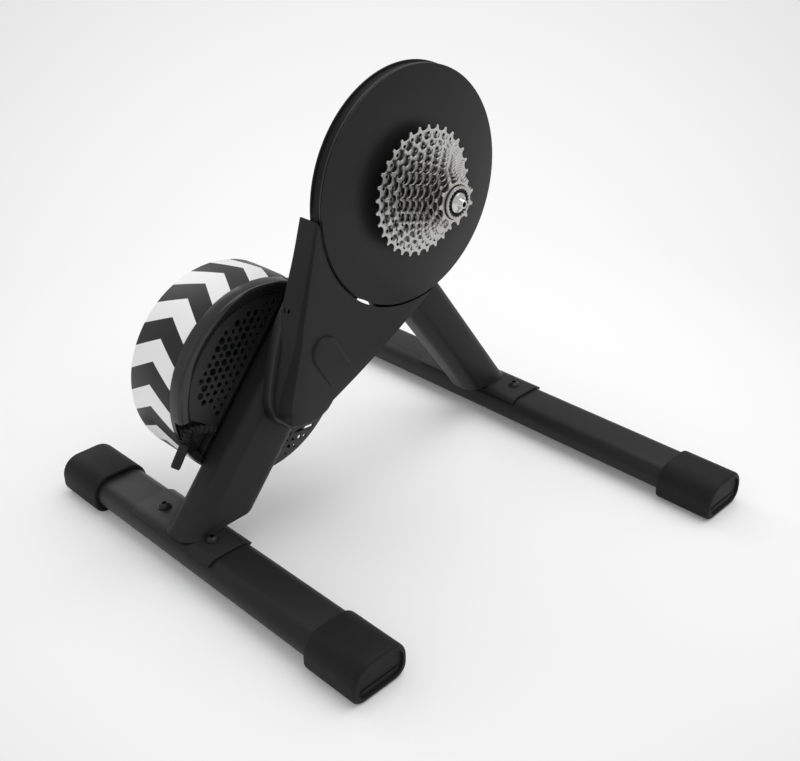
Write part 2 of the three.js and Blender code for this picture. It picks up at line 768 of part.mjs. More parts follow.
// The boss stands proud at its round end and fades into the panel's lower edge
function raisedBoss() {
  const centre = between(...bossShares);
  const run = point(Math.cos(bossLean * degrees), Math.sin(bossLean * degrees));
  const end = centre.clone().addScaledVector(run, bossLength);
  const outline = [
    ...arcPoints(centre, bossRadius, bossLean + 90, bossLean + 270),
    end.clone().add(point(run.y, -run.x).multiplyScalar(bossRadius)),
    end.clone().sub(point(run.y, -run.x).multiplyScalar(bossRadius)),
  ];
  const depthAt = (p) => {
    const share = THREE.MathUtils.clamp(p.clone().sub(centre).dot(run) / bossRun, 0, 1);
    return housingFront - bossRise * (1 - share);
  };
  const face = outline.map((p) => new THREE.Vector3(p.x, depthAt(p), p.y));
  return loft([face, at(outline, housingFront + housingWall / 2)]);
}

// A screw into the plate's left edge, pointing along +X
function sideScrew(grow) {
  const body = grow > 0
    ? rod(sideScrewRadius + grow, -overrun, sideScrewBite + grow, fineSteps)
    : screw(sideScrewRadius, sideScrewHead, sideScrewRise, sideScrewBite).translate([0, -seatGap, 0]);
  const [low, high] = sideScrewEdgeShares.map(([shareX, shareZ]) => between(shareX, shareZ));
  const slope = Math.atan2(high.y - low.y, high.x - low.x) / degrees;
  const place = low.clone().add(high).multiplyScalar(0.5);
  return body.rotate([0, 0, -90]).rotate([0, 90 - slope, 0])
    .translate([place.x, (plateFront + plateBack) / 2, place.y]);
}

// Wheel: cover, belt pulley and ratchet

function makeDrivePulley() {
  const rimInner = pulleyRadius - pulleyRimDepth;
  const webNear = pulleyFront + pulleyWebInset;
  const webFar = webNear + pulleyWebThickness;
  const ratchetSeat = ratchetRingRadius + seatGap;
  const bearingSeat = pulleyBearingRadius + seatGap;
  const bearingNear = pulleyHubBack - 2 * bearingWidth - 2 * seatGap;
  const profile = [
    [ratchetSeat, pulleyFront], [pulleyHubRadius, pulleyFront], [pulleyHubRadius, webNear],
    [rimInner, webNear], [rimInner, pulleyFront], [pulleyRadius, pulleyFront], [pulleyRadius, flangeNear],
    [wheelRadius, flangeNear], [wheelRadius, flangeNear + flangeThickness],
    [rimInner, flangeNear + flangeThickness], [rimInner, webFar], [pulleyHubRadius, webFar],
    [pulleyHubRadius, pulleyHubBack], [bearingSeat, pulleyHubBack], [bearingSeat, bearingNear],
    [ratchetSeat, bearingNear],
  ];
  addPiece('drive_pulley', turned(profile, wheelSteps), blackAluminium, hubGroup);
}

function makeDiscCover() {
  const plate = ring(wheelRadius, coverBoreRadius, discFront, discBack, wheelSteps);
  addPiece('disc_cover', plate, satinBlack, hubGroup);
}

function makeRatchetRing() {
  const far = pulleyHubBack - 2 * bearingWidth - 3 * seatGap;
  const root = ratchetRingRadius - ratchetToothDepth;
  const tooth = 360 / ratchetTeeth;
  const teeth = Array.from({ length: ratchetTeeth }, (_, i) => [
    polar(root, i * tooth),
    polar(root - ratchetToothDepth, (i + ratchetRampShare) * tooth),
  ]).flat();
  const outer = circle(ratchetRingRadius);
  addPiece('ratchet_ring', prism(outer, pulleyFront + seatGap, far, [teeth]), bareSteel, hubGroup);
}

function makePulleyBearing() {
  const near = pulleyHubBack - 2 * bearingWidth - seatGap;
  const bearing = ring(pulleyBearingRadius, axleRadius + bearingPlay, near, pulleyHubBack);
  addPiece('pulley_bearing', bearing, nickelSteel, hubGroup);
}

// Axle and its ends

const axleNear = nearDropout + driveCapLength + seatGap;
const axleFar = farDropout - farCapLength - seatGap;

function makeAxle() {
  const collarFar = bossFront - seatGap;
  const seatFar = bossBack;
  const profile = [
    [axleBoreRadius, axleNear], [axleRadius, axleNear], [axleRadius, collarFar - axleCollarThickness],
    [axleCollarRadius, collarFar - axleCollarThickness], [axleCollarRadius, collarFar],
    [axleSeatRadius, collarFar], [axleSeatRadius, seatFar], [axleRadius, seatFar], [axleRadius, axleFar],
    [axleBoreRadius, axleFar],
  ];
  addPiece('axle', turned(profile), bareSteel, hubGroup);
  const nutNear = bossBack + seatGap;
  const nutFar = Math.min(nutNear + axleNutThickness, axleFar);
  const hexagon = circle(axleNutRadius, nutSides);
  const nut = prism(hexagon, nutNear, nutFar)
    .subtract(rod(axleRadius + seatGap, nutNear - overrun, nutFar + overrun));
  addPiece('axle_nut', nut, nickelSteel, hubGroup);
}

function makeEndCaps() {
  const drive = turned([
    [axleBoreRadius, nearDropout - capNoseLength], [capNoseRadius, nearDropout - capNoseLength],
    [capNoseRadius, nearDropout], [driveCapRadius, nearDropout],
    [driveCapRadius, nearDropout + driveCapLength], [axleBoreRadius, nearDropout + driveCapLength],
  ], capSteps);
  addPiece('drive_end_cap', drive, nickelSteel, hubGroup);
  const far = turned([
    [axleBoreRadius, farDropout + capNoseLength], [capNoseRadius, farDropout + capNoseLength],
    [capNoseRadius, farDropout], [farCapRadius, farDropout], [farCapRadius, farDropout - farCapLength],
    [axleBoreRadius, farDropout - farCapLength],
  ], capSteps);
  addPiece('non_drive_end_cap', far, nickelSteel, hubGroup);
}

// Freehub and cassette

// A splined circle: raised lands between grooves, anticlockwise
function splinedCircle(radius, depth) {
  const land = 360 / splineCount;
  return Array.from({ length: splineCount }, (_, i) => [
    ...arcPoints(point(0, 0), radius, i * land, (i + splineLandShare) * land, 2),
    ...splineGrooveShares.map((share) => polar(radius - depth, (i + share) * land)),
  ]).flat();
}

const carrierSleeveRadius = splineRadius + seatGap + carrierSleeveWall;

function pitchRadius(teeth) {
  return chainPitch / 2 / Math.sin(Math.PI / teeth);
}

function cogOutline(teeth) {
  const tip = pitchRadius(teeth) + toothRise;
  const root = pitchRadius(teeth) - toothValley;
  const step = 360 / teeth;
  const toothShares = [[-0.3, root], [-0.09, tip], [0.09, tip], [0.3, root]];
  return Array.from({ length: teeth }, (_, i) => (
    toothShares.map(([share, radius]) => polar(radius, (i + share) * step)))).flat();
}

function makeCassette() {
  const names = toothCounts.map((_, k) => `sprocket_${String(toothCounts.length - k).padStart(2, '0')}`);
  toothCounts.forEach((teeth, k) => {
    const y = bigCogY - k * cogPitch;
    const bore = circle(carrierSleeveRadius + seatGap);
    const cog = prism(cogOutline(teeth), y - cogThickness / 2, y + cogThickness / 2, [bore]);
    addPiece(names[k], cog, nickelSteel, hubGroup);
  });
  makeCarrier();
}

// A splined sleeve with a spacer ring between each sprocket and the next
function makeCarrier() {
  const sleeve = ring(carrierSleeveRadius, splineRadius + seatGap, smallCogY, bigCogY + cogThickness / 2);
  const spacers = toothCounts.slice(1).map((teeth, k) => {
    const far = bigCogY - k * cogPitch - cogThickness / 2 - seatGap;
    const near = far - cogPitch + cogThickness + 2 * seatGap;
    const outer = Math.min(pitchRadius(teeth) - toothValley - spacerMargin, spacerRadiusLimit);
    return ring(outer, splineRadius + seatGap, near, far);
  });
  addPiece('cassette_carrier', joined([sleeve, ...spacers]), redSpacer, hubGroup);
}

const collarNear = bigCogY + cogThickness / 2 + seatGap;
const collarFar = collarNear + freehubCollarLength;
const noseFar = collarFar + freehubNoseLength;

// Three pawls on a spring ring, sunk into the freehub's nose
function pawlSolids(grow) {
  const root = freehubNoseRadius - pawlThickness;
  const half = pawlWidth / 2 + grow;
  const near = collarFar + 2 * seatGap - grow;
  const far = noseFar - 2 * seatGap + grow;
  const middle = (near + far) / 2;
  const reach = grow > 0 ? overrun : 0;
  const pawl = box(root - grow, freehubNoseRadius + reach, near, far, -half, half);
  const spring = ring(root + springThickness + reach * 2, root - grow, middle - springThickness - grow,
    middle + springThickness + grow);
  return [spring, ...copies(pawlCount, 0, pawl)];
}

function makeFreehub() {
  const near = smallCogY - cogThickness / 2;
  const bore = splineRadius - splineDepth - freehubWall;
  const outer = prism(splinedCircle(splineRadius, splineDepth), near, collarNear)
    .subtract(rod(bore + seatGap, near - overrun, collarNear + overrun));
  const neck = turned([
    [bore + seatGap, collarNear], [freehubCollarRadius, collarNear], [freehubCollarRadius, collarFar],
    [freehubNoseRadius, collarFar], [freehubNoseRadius, noseFar],
    [axleRadius + freehubNoseGap, noseFar], [axleRadius + freehubNoseGap, collarFar],
    [bore + seatGap, collarFar],
  ]);
  const body = outer.add(neck);
  const cuts = pawlSolids(seatGap);
  addPiece('freehub_body', cuts.reduce((whole, cut) => whole.subtract(cut), body), bareSteel, hubGroup);
  addPiece('pawl_ring', joined(pawlSolids(0)), nickelSteel, hubGroup);
  const bearingNear = near + lockringSkirt + seatGap;
  const bearing = ring(bore, axleRadius + bearingPlay, bearingNear, bearingNear + 2 * bearingWidth);
  addPiece('freehub_bearing', bearing, nickelSteel, hubGroup);
  const lockFar = near - seatGap;
  const skirt = bore - seatGap;
  const lockring = turned([
    [skirt - lockringWall, lockFar - lockringThickness], [lockringRadius, lockFar - lockringThickness],
    [lockringRadius, lockFar], [skirt, lockFar], [skirt, lockFar + lockringSkirt],
    [skirt - lockringWall, lockFar + lockringSkirt],
  ]);
  addPiece('lockring', lockring, nickelSteel, hubGroup);
}

// Belt, small pulley and idler

// The belt's outline at a distance outside its inner face
function beltOutline(offset) {
  const big = bigBeltRadius + offset;
  const small = smallBeltRadius + offset;
  const across = hub.clone().sub(shaft);
  const heading = Math.atan2(across.y, across.x) / degrees;
  const wrap = 180 - Math.acos((big - small) / across.length()) / degrees;
  return [
    ...arcPoints(hub, big, heading - wrap, heading + wrap, beltSteps),
    ...arcPoints(shaft, small, heading + wrap, heading - wrap + 360),
  ];
}

function makeBeltDrive() {
  addPiece('belt', prism(beltOutline(beltThickness), beltNear, beltFar, [beltOutline(0)]), rubberBlack);
  const pulley = turned([
    [shaftNoseRadius + seatGap, beltNear], [smallPulleyRadius, beltNear], [smallPulleyRadius, flangeNear],
    [smallPulleyRadius + beltThickness, flangeNear],
    [smallPulleyRadius + beltThickness, flangeNear + flangeThickness],
    [shaftNoseRadius + seatGap, flangeNear + flangeThickness],
  ]);
  addPiece('small_pulley', pulley, bareSteel, shaftGroup);
}

// The idler touches the inner face of the belt's left run
function idlerRadius() {
  const across = hub.clone().sub(shaft);
  const lean = Math.asin((bigBeltRadius - smallBeltRadius) / across.length());
  const heading = Math.atan2(across.y, across.x) + Math.PI / 2 + lean;
  const outward = point(Math.cos(heading), Math.sin(heading));
  return smallBeltRadius - idler.clone().sub(shaft).dot(outward) - runningGap;
}

function makeIdler() {
  const wheel = ring(idlerRadius(), idlerBoltRadius + bearingPlay, beltNear, beltFar);
  addPiece('idler_pulley', wheel.translate([idler.x, 0, idler.y]), bareSteel);
  const bolt = turned([
    [0, beltNear - idlerBoltHeadRise / 2 - runningGap / 2], [idlerBoltHead, beltNear - idlerBoltHeadRise / 2],
    [idlerBoltHead, beltNear - runningGap / 2], [idlerBoltRadius, beltNear - runningGap / 2],
    [idlerBoltRadius, beltFar + runningGap], [idlerShoulderRadius, beltFar + runningGap],
    [idlerShoulderRadius, plateFront - seatGap], [idlerBoltRadius, plateFront - seatGap],
    [idlerBoltRadius, plateBack],
    [0, plateBack],
  ]);
  addPiece('idler_bolt', bolt.translate([idler.x, 0, idler.y]), bareSteel);
}

// Flywheel

const carrierFar = legFar + carrierReach;
const drumHubNear = drumFar - drumHubDepth;

function makeFlywheelShaft() {
  const noseFar = flangeNear + flangeThickness;
  const profile = [
    [0, beltNear], [shaftNoseRadius, beltNear], [shaftNoseRadius, noseFar + seatGap],
    [shaftRadius, noseFar + seatGap], [shaftRadius, carrierFar + seatGap],
    [shaftEndRadius, carrierFar + seatGap], [shaftEndRadius, drumHubNear - shaftFlangeThickness],
    [drumHubRadius, drumHubNear - shaftFlangeThickness], [drumHubRadius, drumHubNear - seatGap],
    [shaftEndRadius, drumHubNear - seatGap], [shaftEndRadius, drumFar - seatGap],
    [shaftRadius, drumFar - seatGap], [shaftRadius, drumFar + flywheelNutThickness],
    [0, drumFar + flywheelNutThickness],
  ];
  addPiece('flywheel_shaft', turned(profile), bareSteel, shaftGroup);
}

function makeDrum() {
  const inner = drumRadius - drumRimThickness;
  const web = drumFar - drumWebThickness;
  const bore = shaftEndRadius + seatGap;
  const profile = [
    [inner, drumNear], [drumRadius - drumEdgeRound, drumNear], [drumRadius, drumNear + drumEdgeRound],
    [drumRadius, drumFar - drumEdgeRound], [drumRadius - drumEdgeRound, drumFar], [bore, drumFar],
    [bore, drumHubNear], [drumHubRadius, drumHubNear], [drumHubRadius, web], [inner, web],
  ];
  addPiece('flywheel_drum', turned(profile, wheelSteps), whiteBand, shaftGroup);
  const nutNear = drumFar + seatGap;
  const hexagon = circle(flywheelNutRadius, nutSides);
  const nut = prism(hexagon, nutNear, nutNear + flywheelNutThickness)
    .subtract(rod(shaftRadius + seatGap, nutNear - overrun, nutNear + flywheelNutThickness + overrun));
  addPiece('flywheel_nut', nut, nickelSteel, shaftGroup);
}

// Cover

// A wedge of the ring between two radii, from one angle to another
function sector(inner, outer, from, to, near, far) {
  const outline = [
    ...arcPoints(point(0, 0), outer, from, to, fineSteps / 2),
    ...arcPoints(point(0, 0), inner, to, from, fineSteps / 2),
  ];
  return prism(outline, near, far);
}

// How far the flywheel axis lies from the rear leg's centre line
function legOffset() {
  const fromAxis = shaft.clone().sub(rearLegFoot);
  return fromAxis.y * rearLegDirection.x - fromAxis.x * rearLegDirection.y;
}

function ventPlaces() {
  const places = [];
  const rows = Math.ceil(ventFaceRadius / ventPitch);
  for (let row = -rows; row <= rows; row += 1) {
    for (let column = -rows; column <= rows; column += 1) {
      const x = (column + (Math.abs(row) % 2) / 2) * ventPitch;
      const z = row * ventPitch * Math.sin(Math.PI / 3);
      const reach = Math.hypot(x, z);
      const across = Math.abs(-x * rearLegDirection.y + z * rearLegDirection.x + legOffset());
      const inPocket = reach > pocketInnerRadius - ventPitch && x < 0
        && Math.abs(Math.atan2(z, x) / degrees - (pocketNearAngle + pocketFarAngle) / 2) < pocketVentClear;
      const open = reach > ventInnerRadius && reach < ventFaceRadius - ventRadius - ventMargin;
      if (open && !inPocket && across > rearLegWidth / 2 + ventMargin) places.push([x, z]);
    }
  }
  return places;
}

function makeFlywheelCover() {
  const bore = carrierRadius + seatGap;
  const innerRim = drumRadius - coverRimWall;
  const shell = turned([
    [bore, ventFace], [ventFaceRadius, ventFace], [ventFaceRadius + coverRidgeRun, coverFront],
    [coverRidgeRadius, coverFront], [drumRadius, coverFront + coverRimDrop], [drumRadius, coverBack],
    [innerRim, coverBack], [innerRim, ventBack], [bore, ventBack],
  ], wheelSteps);
  const channelReach = rod(innerRim + coverRimWall / 2, ventFace, channelBack, wheelSteps);
  const channel = legBand(channelWall + seatGap, ventFace, channelBack).intersect(channelReach);
  const pocketFloor = ventFace + pocketDepth;
  const widen = pocketWall / pocketInnerRadius / degrees;
  const tray = sector(pocketInnerRadius - pocketWall, innerRim + coverRimWall / 2, pocketNearAngle - widen,
    pocketFarAngle + widen, ventFace + ventPlateThickness / 2, pocketFloor + pocketWall);
  const pocket = sector(pocketInnerRadius, drumRadius + overrun, pocketNearAngle, pocketFarAngle,
    coverFront - overrun, pocketFloor);
  const vent = rod(ventRadius, ventFace - overrun, ventBack + overrun, fineSteps / 2);
  const vents = ventPlaces().map(([x, z]) => vent.translate([x, 0, z]));
  const posts = boardPosts(boardPostRadius, ventFace + ventPlateThickness / 2,
    channelBack + boardStandoff - seatGap);
  const cuts = [
    pocket, ...vents, legBand(seatGap, coverFront - overrun, channelFloor),
    rod(bore, ventFace - overrun, channelBack + overrun), bootSolid(seatGap),
  ];
  const body = joined([shell, channel, tray, ...posts]);
  addPiece('flywheel_cover', cuts.reduce((whole, cut) => whole.subtract(cut), body), moulded, shaftGroup);
}

// A straight band as wide as the rear leg, about the flywheel axis
function legBand(grow, near, far) {
  const half = rearLegWidth / 2 + grow;
  const reach = drumRadius + overrun;
  return box(-reach, reach, near, far, -legOffset() - half, -legOffset() + half)
    .rotate([0, -rearLegLean, 0]);
}

function boardPosts(radius, near, far) {
  const middle = (boardInnerRadius + boardOuterRadius) / 2;
  const angles = [boardStartAngle + boardPostInset, boardEndAngle - boardPostInset];
  return angles.map((angle) => rod(radius, near, far, fineSteps / 2)
    .translate([middle, 0, 0]).rotate([0, -angle, 0]));
}

// Brake and board

function makeBrake() {
  const bore = carrierRadius + seatGap;
  const near = channelBack + coreStart;
  const far = near + coreDepth;
  const tip = drumRadius - drumRimThickness - poleAirGap;
  const spool = turned([
    [bore, near], [tip, near], [tip, near + poleThickness], [coreHubRadius, near + poleThickness],
    [coreHubRadius, far - poleThickness], [tip, far - poleThickness], [tip, far], [bore, far],
  ], coreSteps);
  const slot = box(coilRadius + poleSlotMargin, drumRadius, near - overrun, far + overrun,
    -poleSlotWidth / 2, poleSlotWidth / 2);
  const slots = copies(poleCount, 0, slot);
  addPiece('brake_core', slots.reduce((core, cut) => core.subtract(cut), spool), bareSteel, shaftGroup);
  const coil = ring(coilRadius, coreHubRadius + seatGap, near + poleThickness + seatGap,
    far - poleThickness - seatGap, coreSteps);
  addPiece('brake_coil', coil, copper, shaftGroup);
}

function makeBoard() {
  const near = channelBack + boardStandoff;
  const board = sector(boardInnerRadius, boardOuterRadius, boardStartAngle, boardEndAngle,
    near, near + boardThickness);
  addPiece('circuit_board', board, boardGreen, shaftGroup);
}

// Boot and connector, out of the cover's pocket

// The boot's path: through the pocket's inner wall, across the pocket and down past the rim
function bootCurve() {
  const inward = polar(pocketInnerRadius - 2 * pocketWall, bootRootAngle);
  const root = new THREE.Vector3(inward.x, ventFace + bootRadius / 2, inward.y);
  const bend = root.clone().add(new THREE.Vector3(bootRun[0], -bootRadius / 2, bootRun[1]));
  const end = bend.clone().add(new THREE.Vector3(bootDrop[0], -bootRadius / 2, bootDrop[1]));
  return new THREE.CatmullRomCurve3([root, bend, end]);
}

function bootSolid(grow) {
  const curve = bootCurve();
  const stations = bootRibs * 4;
  const rings = [];
  for (let i = 0; i <= stations; i += 1) {
    const raised = i % 4 === 1 || i % 4 === 2 || grow > 0;
    rings.push(circleOn(curve, i / stations, bootRadius + (raised ? bootRibRise : 0) + grow));
  }
  return loft(rings);
}

function makePowerInlet() {
  const curve = bootCurve();
  addPiece('strain_relief', bootSolid(0), rubberBlack, shaftGroup);
  makeConnector(curve.getPoint(1), curve.getTangent(1));
}

function circleOn(curve, share, radius) {
  const centre = curve.getPoint(share);
  const along = curve.getTangent(share);
  const side = new THREE.Vector3(0, 1, 0).cross(along).normalize();
  const up = along.clone().cross(side);
  return circle(radius, bootSides).map((p) => (
    centre.clone().addScaledVector(side, p.x).addScaledVector(up, p.y)));
}

function makeConnector(start, heading) {
  const quarter = new THREE.Quaternion().setFromUnitVectors(new THREE.Vector3(0, 1, 0), heading);
  const body = turned([
    [0, seatGap], [connectorRadius - bootRibRise, seatGap], [connectorRadius, bootRibRise + seatGap],
    [connectorRadius, connectorLength], [connectorBoreRadius, connectorLength],
    [connectorBoreRadius, connectorLength - connectorBoreDepth], [0, connectorLength - connectorBoreDepth],
  ], fineSteps);
  const holder = new THREE.Group();
  holder.position.copy(start);
  holder.quaternion.copy(quarter);
  shaftGroup.add(holder);
  addPiece('power_connector', body, rubberBlack, holder);
}

makeFoot('rear', rearFootX, rearNearEnd, rearFarEnd);
makeFoot('front', frontFootX, nearEnd, farEnd);
makeSaddle('rear', rearFootX, rearSaddleNear, rearSaddleNear + saddleLength);
makeSaddle('front', frontFootX, frontSaddleNear, frontSaddleNear + frontSaddleLength);
makeLegs();
makeLegTopCap();
makeFramePlate();
makeFrameBolts();
makeBearingHousing();
makeHousing();
addPiece('side_screw', sideScrew(0), blackBolt);
makeDrivePulley();
makeDiscCover();
makeRatchetRing();
makePulleyBearing();
makeAxle();
makeEndCaps();
makeCassette();
makeFreehub();
makeBeltDrive();
makeIdler();
makeFlywheelShaft();
makeDrum();
makeFlywheelCover();
makeBrake();
makeBoard();
makePowerInlet();

export default trainer;
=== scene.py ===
import json
import math
import random

import bmesh
import bpy
from mathutils import Matrix, Vector


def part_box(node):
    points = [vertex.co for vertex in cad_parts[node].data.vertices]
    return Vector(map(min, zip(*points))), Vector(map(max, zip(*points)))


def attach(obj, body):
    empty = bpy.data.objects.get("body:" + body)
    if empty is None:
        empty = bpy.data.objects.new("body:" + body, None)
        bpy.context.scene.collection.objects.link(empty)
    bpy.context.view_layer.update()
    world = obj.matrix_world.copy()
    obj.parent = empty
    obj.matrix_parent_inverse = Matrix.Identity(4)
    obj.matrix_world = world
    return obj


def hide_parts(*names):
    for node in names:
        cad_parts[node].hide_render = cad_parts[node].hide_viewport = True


bl_info = {
    "name": "Direct drive bike trainer",
    "version": (1, 0, 0),
    "blender": (4, 5, 0),
    "location": "View3D > Sidebar > Trainer",
    "description": "Dresses the bike trainer's solids and sets the studio",
    "category": "Object",
}

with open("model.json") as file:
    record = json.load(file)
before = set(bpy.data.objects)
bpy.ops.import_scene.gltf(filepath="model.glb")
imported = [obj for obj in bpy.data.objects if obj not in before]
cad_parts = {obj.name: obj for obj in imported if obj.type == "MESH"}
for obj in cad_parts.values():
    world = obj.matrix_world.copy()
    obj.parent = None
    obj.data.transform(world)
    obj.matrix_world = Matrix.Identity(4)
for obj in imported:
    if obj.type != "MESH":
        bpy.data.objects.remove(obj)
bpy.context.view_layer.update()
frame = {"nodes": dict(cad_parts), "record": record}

# Sizes and places in millimetres, an axis as its X and Z and a face as its Y

MM = 0.001
HUB = (27.5, 359.0)
SHAFT = (-115.4, 161.9)
FOOT_X = 231.0
FOOT_WIDTH = 61.0
FOOT_HEIGHT = 32.7
FOOT_MIDDLE = 22.35
BOOT_MIDDLE = 21.7
LEG_NEAR = 17.5
LEG_FAR = 60.5
LEG_CORNER = 15.0
LEG_TOP = 300.0
LEG_BOTTOM = 42.3
WHEEL_RADIUS = 124.2
DISC_FRONT = -22.9
DISC_BACK = -20.5
DRUM_RADIUS = 110.5
TOOTH_COUNTS = (32, 28, 25, 22, 20, 18, 16, 14, 13, 12, 11)
CHAIN_PITCH = 12.7
BIG_COG_Y = -37.0
COG_PITCH = 4.4
HALF_COG = 0.9
HOUSING_FRONT = -21.0
HOUSING_BACK = 5.0
PLATE_FRONT = 5.3
PLATE_BACK = 17.2
COVER_FRONT = 54.4
COVER_BACK = 71.0
COVER_BORE = 21.3
CUT_START = COVER_FRONT - 6
POCKET_BACK = COVER_BACK - 6
CHANNEL_FLOOR = 60.8


# Settings

def length(name, description, default):
    return bpy.props.FloatProperty(name=name, description=description, default=default * MM, unit="LENGTH")


def colour(name, description, default):
    return bpy.props.FloatVectorProperty(name=name, description=description, default=default, size=3,
                                         subtype="COLOR", min=0.0, max=1.0)


def share(name, description, default):
    return bpy.props.FloatProperty(name=name, description=description, default=default, min=0.0, max=1.0,
                                   subtype="FACTOR")


class StandSettings(bpy.types.PropertyGroup):
    paint: colour("Paint", "Colour of the powder coat", (0.014, 0.014, 0.015))
    paint_roughness: share("Paint roughness", "How matt the powder coat is", 0.42)
    boot: colour("Boot rubber", "Colour of the rubber boots", (0.008, 0.008, 0.009))
    boot_edge: length("Boot edge", "Rounding of a boot's closed end", 4.0)
    boot_recess: length("Boot recess", "Depth of the dish in a boot's end", 2.6)
    weld_width: length("Weld width", "How far the weld stands out round a leg's foot", 2.0)


class HousingSettings(bpy.types.PropertyGroup):
    plastic: colour("Housing", "Colour of the belt housing", (0.014, 0.014, 0.015))
    edge: length("Front edge", "Rounding between the front and the side walls", 1.4)
    wall: length("Wall", "Thickness of the housing's wall", 2.3)
    boss_rise: length("Boss rise", "How far the raised boss stands proud", 3.0)


class WheelSettings(bpy.types.PropertyGroup):
    disc: colour("Disc", "Colour of the wheel's cover", (0.014, 0.014, 0.015))
    steel: colour("Sprockets", "Colour of the nickel-plated steel", (0.52, 0.52, 0.51))
    spacer: colour("Spacers", "Colour of the anodised spacers", (0.16, 0.10, 0.08))
    disc_edge: length("Disc edge", "Rounding of the disc's rim", 0.175)


class FlywheelSettings(bpy.types.PropertyGroup):
    light: colour("Light bands", "Colour of the light chevrons", (0.93, 0.93, 0.935))
    dark: colour("Dark bands", "Colour of the dark chevrons", (0.016, 0.016, 0.017))
    plastic: colour("Cover", "Colour of the vented cover", (0.014, 0.014, 0.015))


class StudioSettings(bpy.types.PropertyGroup):
    floor_light: share("Floor", "Lightness of the floor", 0.97)
    middle_light: share("Background, middle", "Brightness of the background in mid-picture", 0.991)
    corner_fall: share("Background, fall-off", "How much the background darkens towards the corners", 0.41)
    sky: share("Sky", "Strength of the even light from all round", 0.6)
    sky_seen: share("Sky in view", "Brightness of the sky where the camera sees it", 0.82)
    key: bpy.props.FloatProperty(name="Key light", description="Power of the soft box overhead", default=36.0,
                                 unit="POWER")


# Outlines, as lists of X and Z in millimetres

def at(point, y):
    return Vector((point[0] * MM, y * MM, point[1] * MM))


def arc(centre, radius, start, end, steps):
    angles = [math.radians(start + (end - start) * i / steps) for i in range(steps + 1)]
    return [(centre[0] + radius * math.cos(a), centre[1] + radius * math.sin(a)) for a in angles]


def circle(centre, radius, steps):
    return arc(centre, radius, 0, 360, steps)[:-1]


def polar(centre, radius, angle):
    return arc(centre, radius, angle, angle, 1)[0]


def stadium(centre, width, height, steps=16):
    """An outline with two full round ends, anticlockwise."""
    radius = height / 2
    reach = width / 2 - radius
    right = arc((centre[0] + reach, centre[1]), radius, -90, 90, steps)
    left = arc((centre[0] - reach, centre[1]), radius, 90, 270, steps)
    return right + left


def oval(centre, width, height, low_radius, steps=10, high_radius=None):
    """An outline with full round upper corners, unless told otherwise, and smaller lower ones."""
    high_radius = high_radius or height / 2
    points = []
    corners = ((1, 1, high_radius), (-1, 1, high_radius), (-1, -1, low_radius), (1, -1, low_radius))
    for quarter, (side, end, radius) in enumerate(corners):
        corner = (centre[0] + side * (width / 2 - radius), centre[1] + end * (height / 2 - radius))
        points += arc(corner, radius, quarter * 90, quarter * 90 + 90, steps)
    return points


def rounded(centre, width, height, radius, steps=8):
    return oval(centre, width, height, radius, steps, radius)


def smooth_path(points, steps):
    """Points on a smooth open curve through the given ones."""
    ends = [points[0]] + list(points) + [points[-1]]
    path = []
    for a, b, c, d in zip(ends, ends[1:], ends[2:], ends[3:]):
        for i in range(steps):
            t = i / steps
            path.append(tuple(
                0.5 * (2 * q + (r - p) * t + (2 * p - 5 * q + 4 * r - s) * t * t
                       + (3 * q - p - 3 * r + s) * t ** 3)
                for p, q, r, s in zip(a, b, c, d)))
    return path + [tuple(points[-1])]


def between(share_x, share_z):
    """A point by its shares of the way from the flywheel's axis to the wheel's."""
    return (SHAFT[0] + (HUB[0] - SHAFT[0]) * share_x, SHAFT[1] + (HUB[1] - SHAFT[1]) * share_z)


def direction(angle):
    """A unit vector in X and Z at an angle from +X."""
    return Vector(polar((0, 0), 1, angle))


def solid_box(node):
    """The low and high corners of a node's CAD box, in millimetres."""
    return [tuple(value / MM for value in corner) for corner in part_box(node)]


# Shapes

def of_type(items, kind):
    return [item for item in items if isinstance(item, kind)]


def add_loop(bm, points):
    verts = [bm.verts.new(p) for p in points]
    return verts, [bm.edges.new(pair) for pair in zip(verts, verts[1:] + verts[:1])]


def push_edges(bm, edges, verts, points):
    """Extrudes a row of edges, and moves what grows out of each of its vertices to a point."""
    pushed = bmesh.ops.extrude_edge_only(bm, edges=edges)["geom"]
    fresh = set(of_type(pushed, bmesh.types.BMVert))
    grown = [next(edge.other_vert(vert) for edge in vert.link_edges if edge.other_vert(vert) in fresh)
             for vert in verts]
    for vert, point in zip(grown, points):
        vert.co = point
    return grown, of_type(pushed, bmesh.types.BMEdge)


def loft(loops, close_first=True, close_last=True):
    """Skins closed loops of equal counts: each is extruded onto the next."""
    bm = bmesh.new()
    ring, edges = add_loop(bm, loops[0])
    if close_first:
        bm.faces.new(ring)
    for points in loops[1:]:
        ring, edges = push_edges(bm, edges, ring, points)
    if close_last:
        bm.faces.new(ring)
    bmesh.ops.recalc_face_normals(bm, faces=bm.faces)
    return bm


def block(outline, near, far, holes=()):
    """A flat outline in X and Z, with any holes, given depth along Y."""
    bm = bmesh.new()
    if holes:
        edges = [edge for ring in (outline, *holes) for edge in add_loop(bm, [at(p, near) for p in ring])[1]]
        made = bmesh.ops.triangle_fill(bm, use_beauty=True, use_dissolve=False, edges=edges)["geom"]
        faces = of_type(made, bmesh.types.BMFace)
    else:
        faces = [bm.faces.new([bm.verts.new(at(p, near)) for p in outline])]
    pushed = bmesh.ops.extrude_face_region(bm, geom=faces)["geom"]
    bmesh.ops.translate(bm, vec=(0, (far - near) * MM, 0), verts=of_type(pushed, bmesh.types.BMVert))
    bmesh.ops.recalc_face_normals(bm, faces=bm.faces)
    return bm


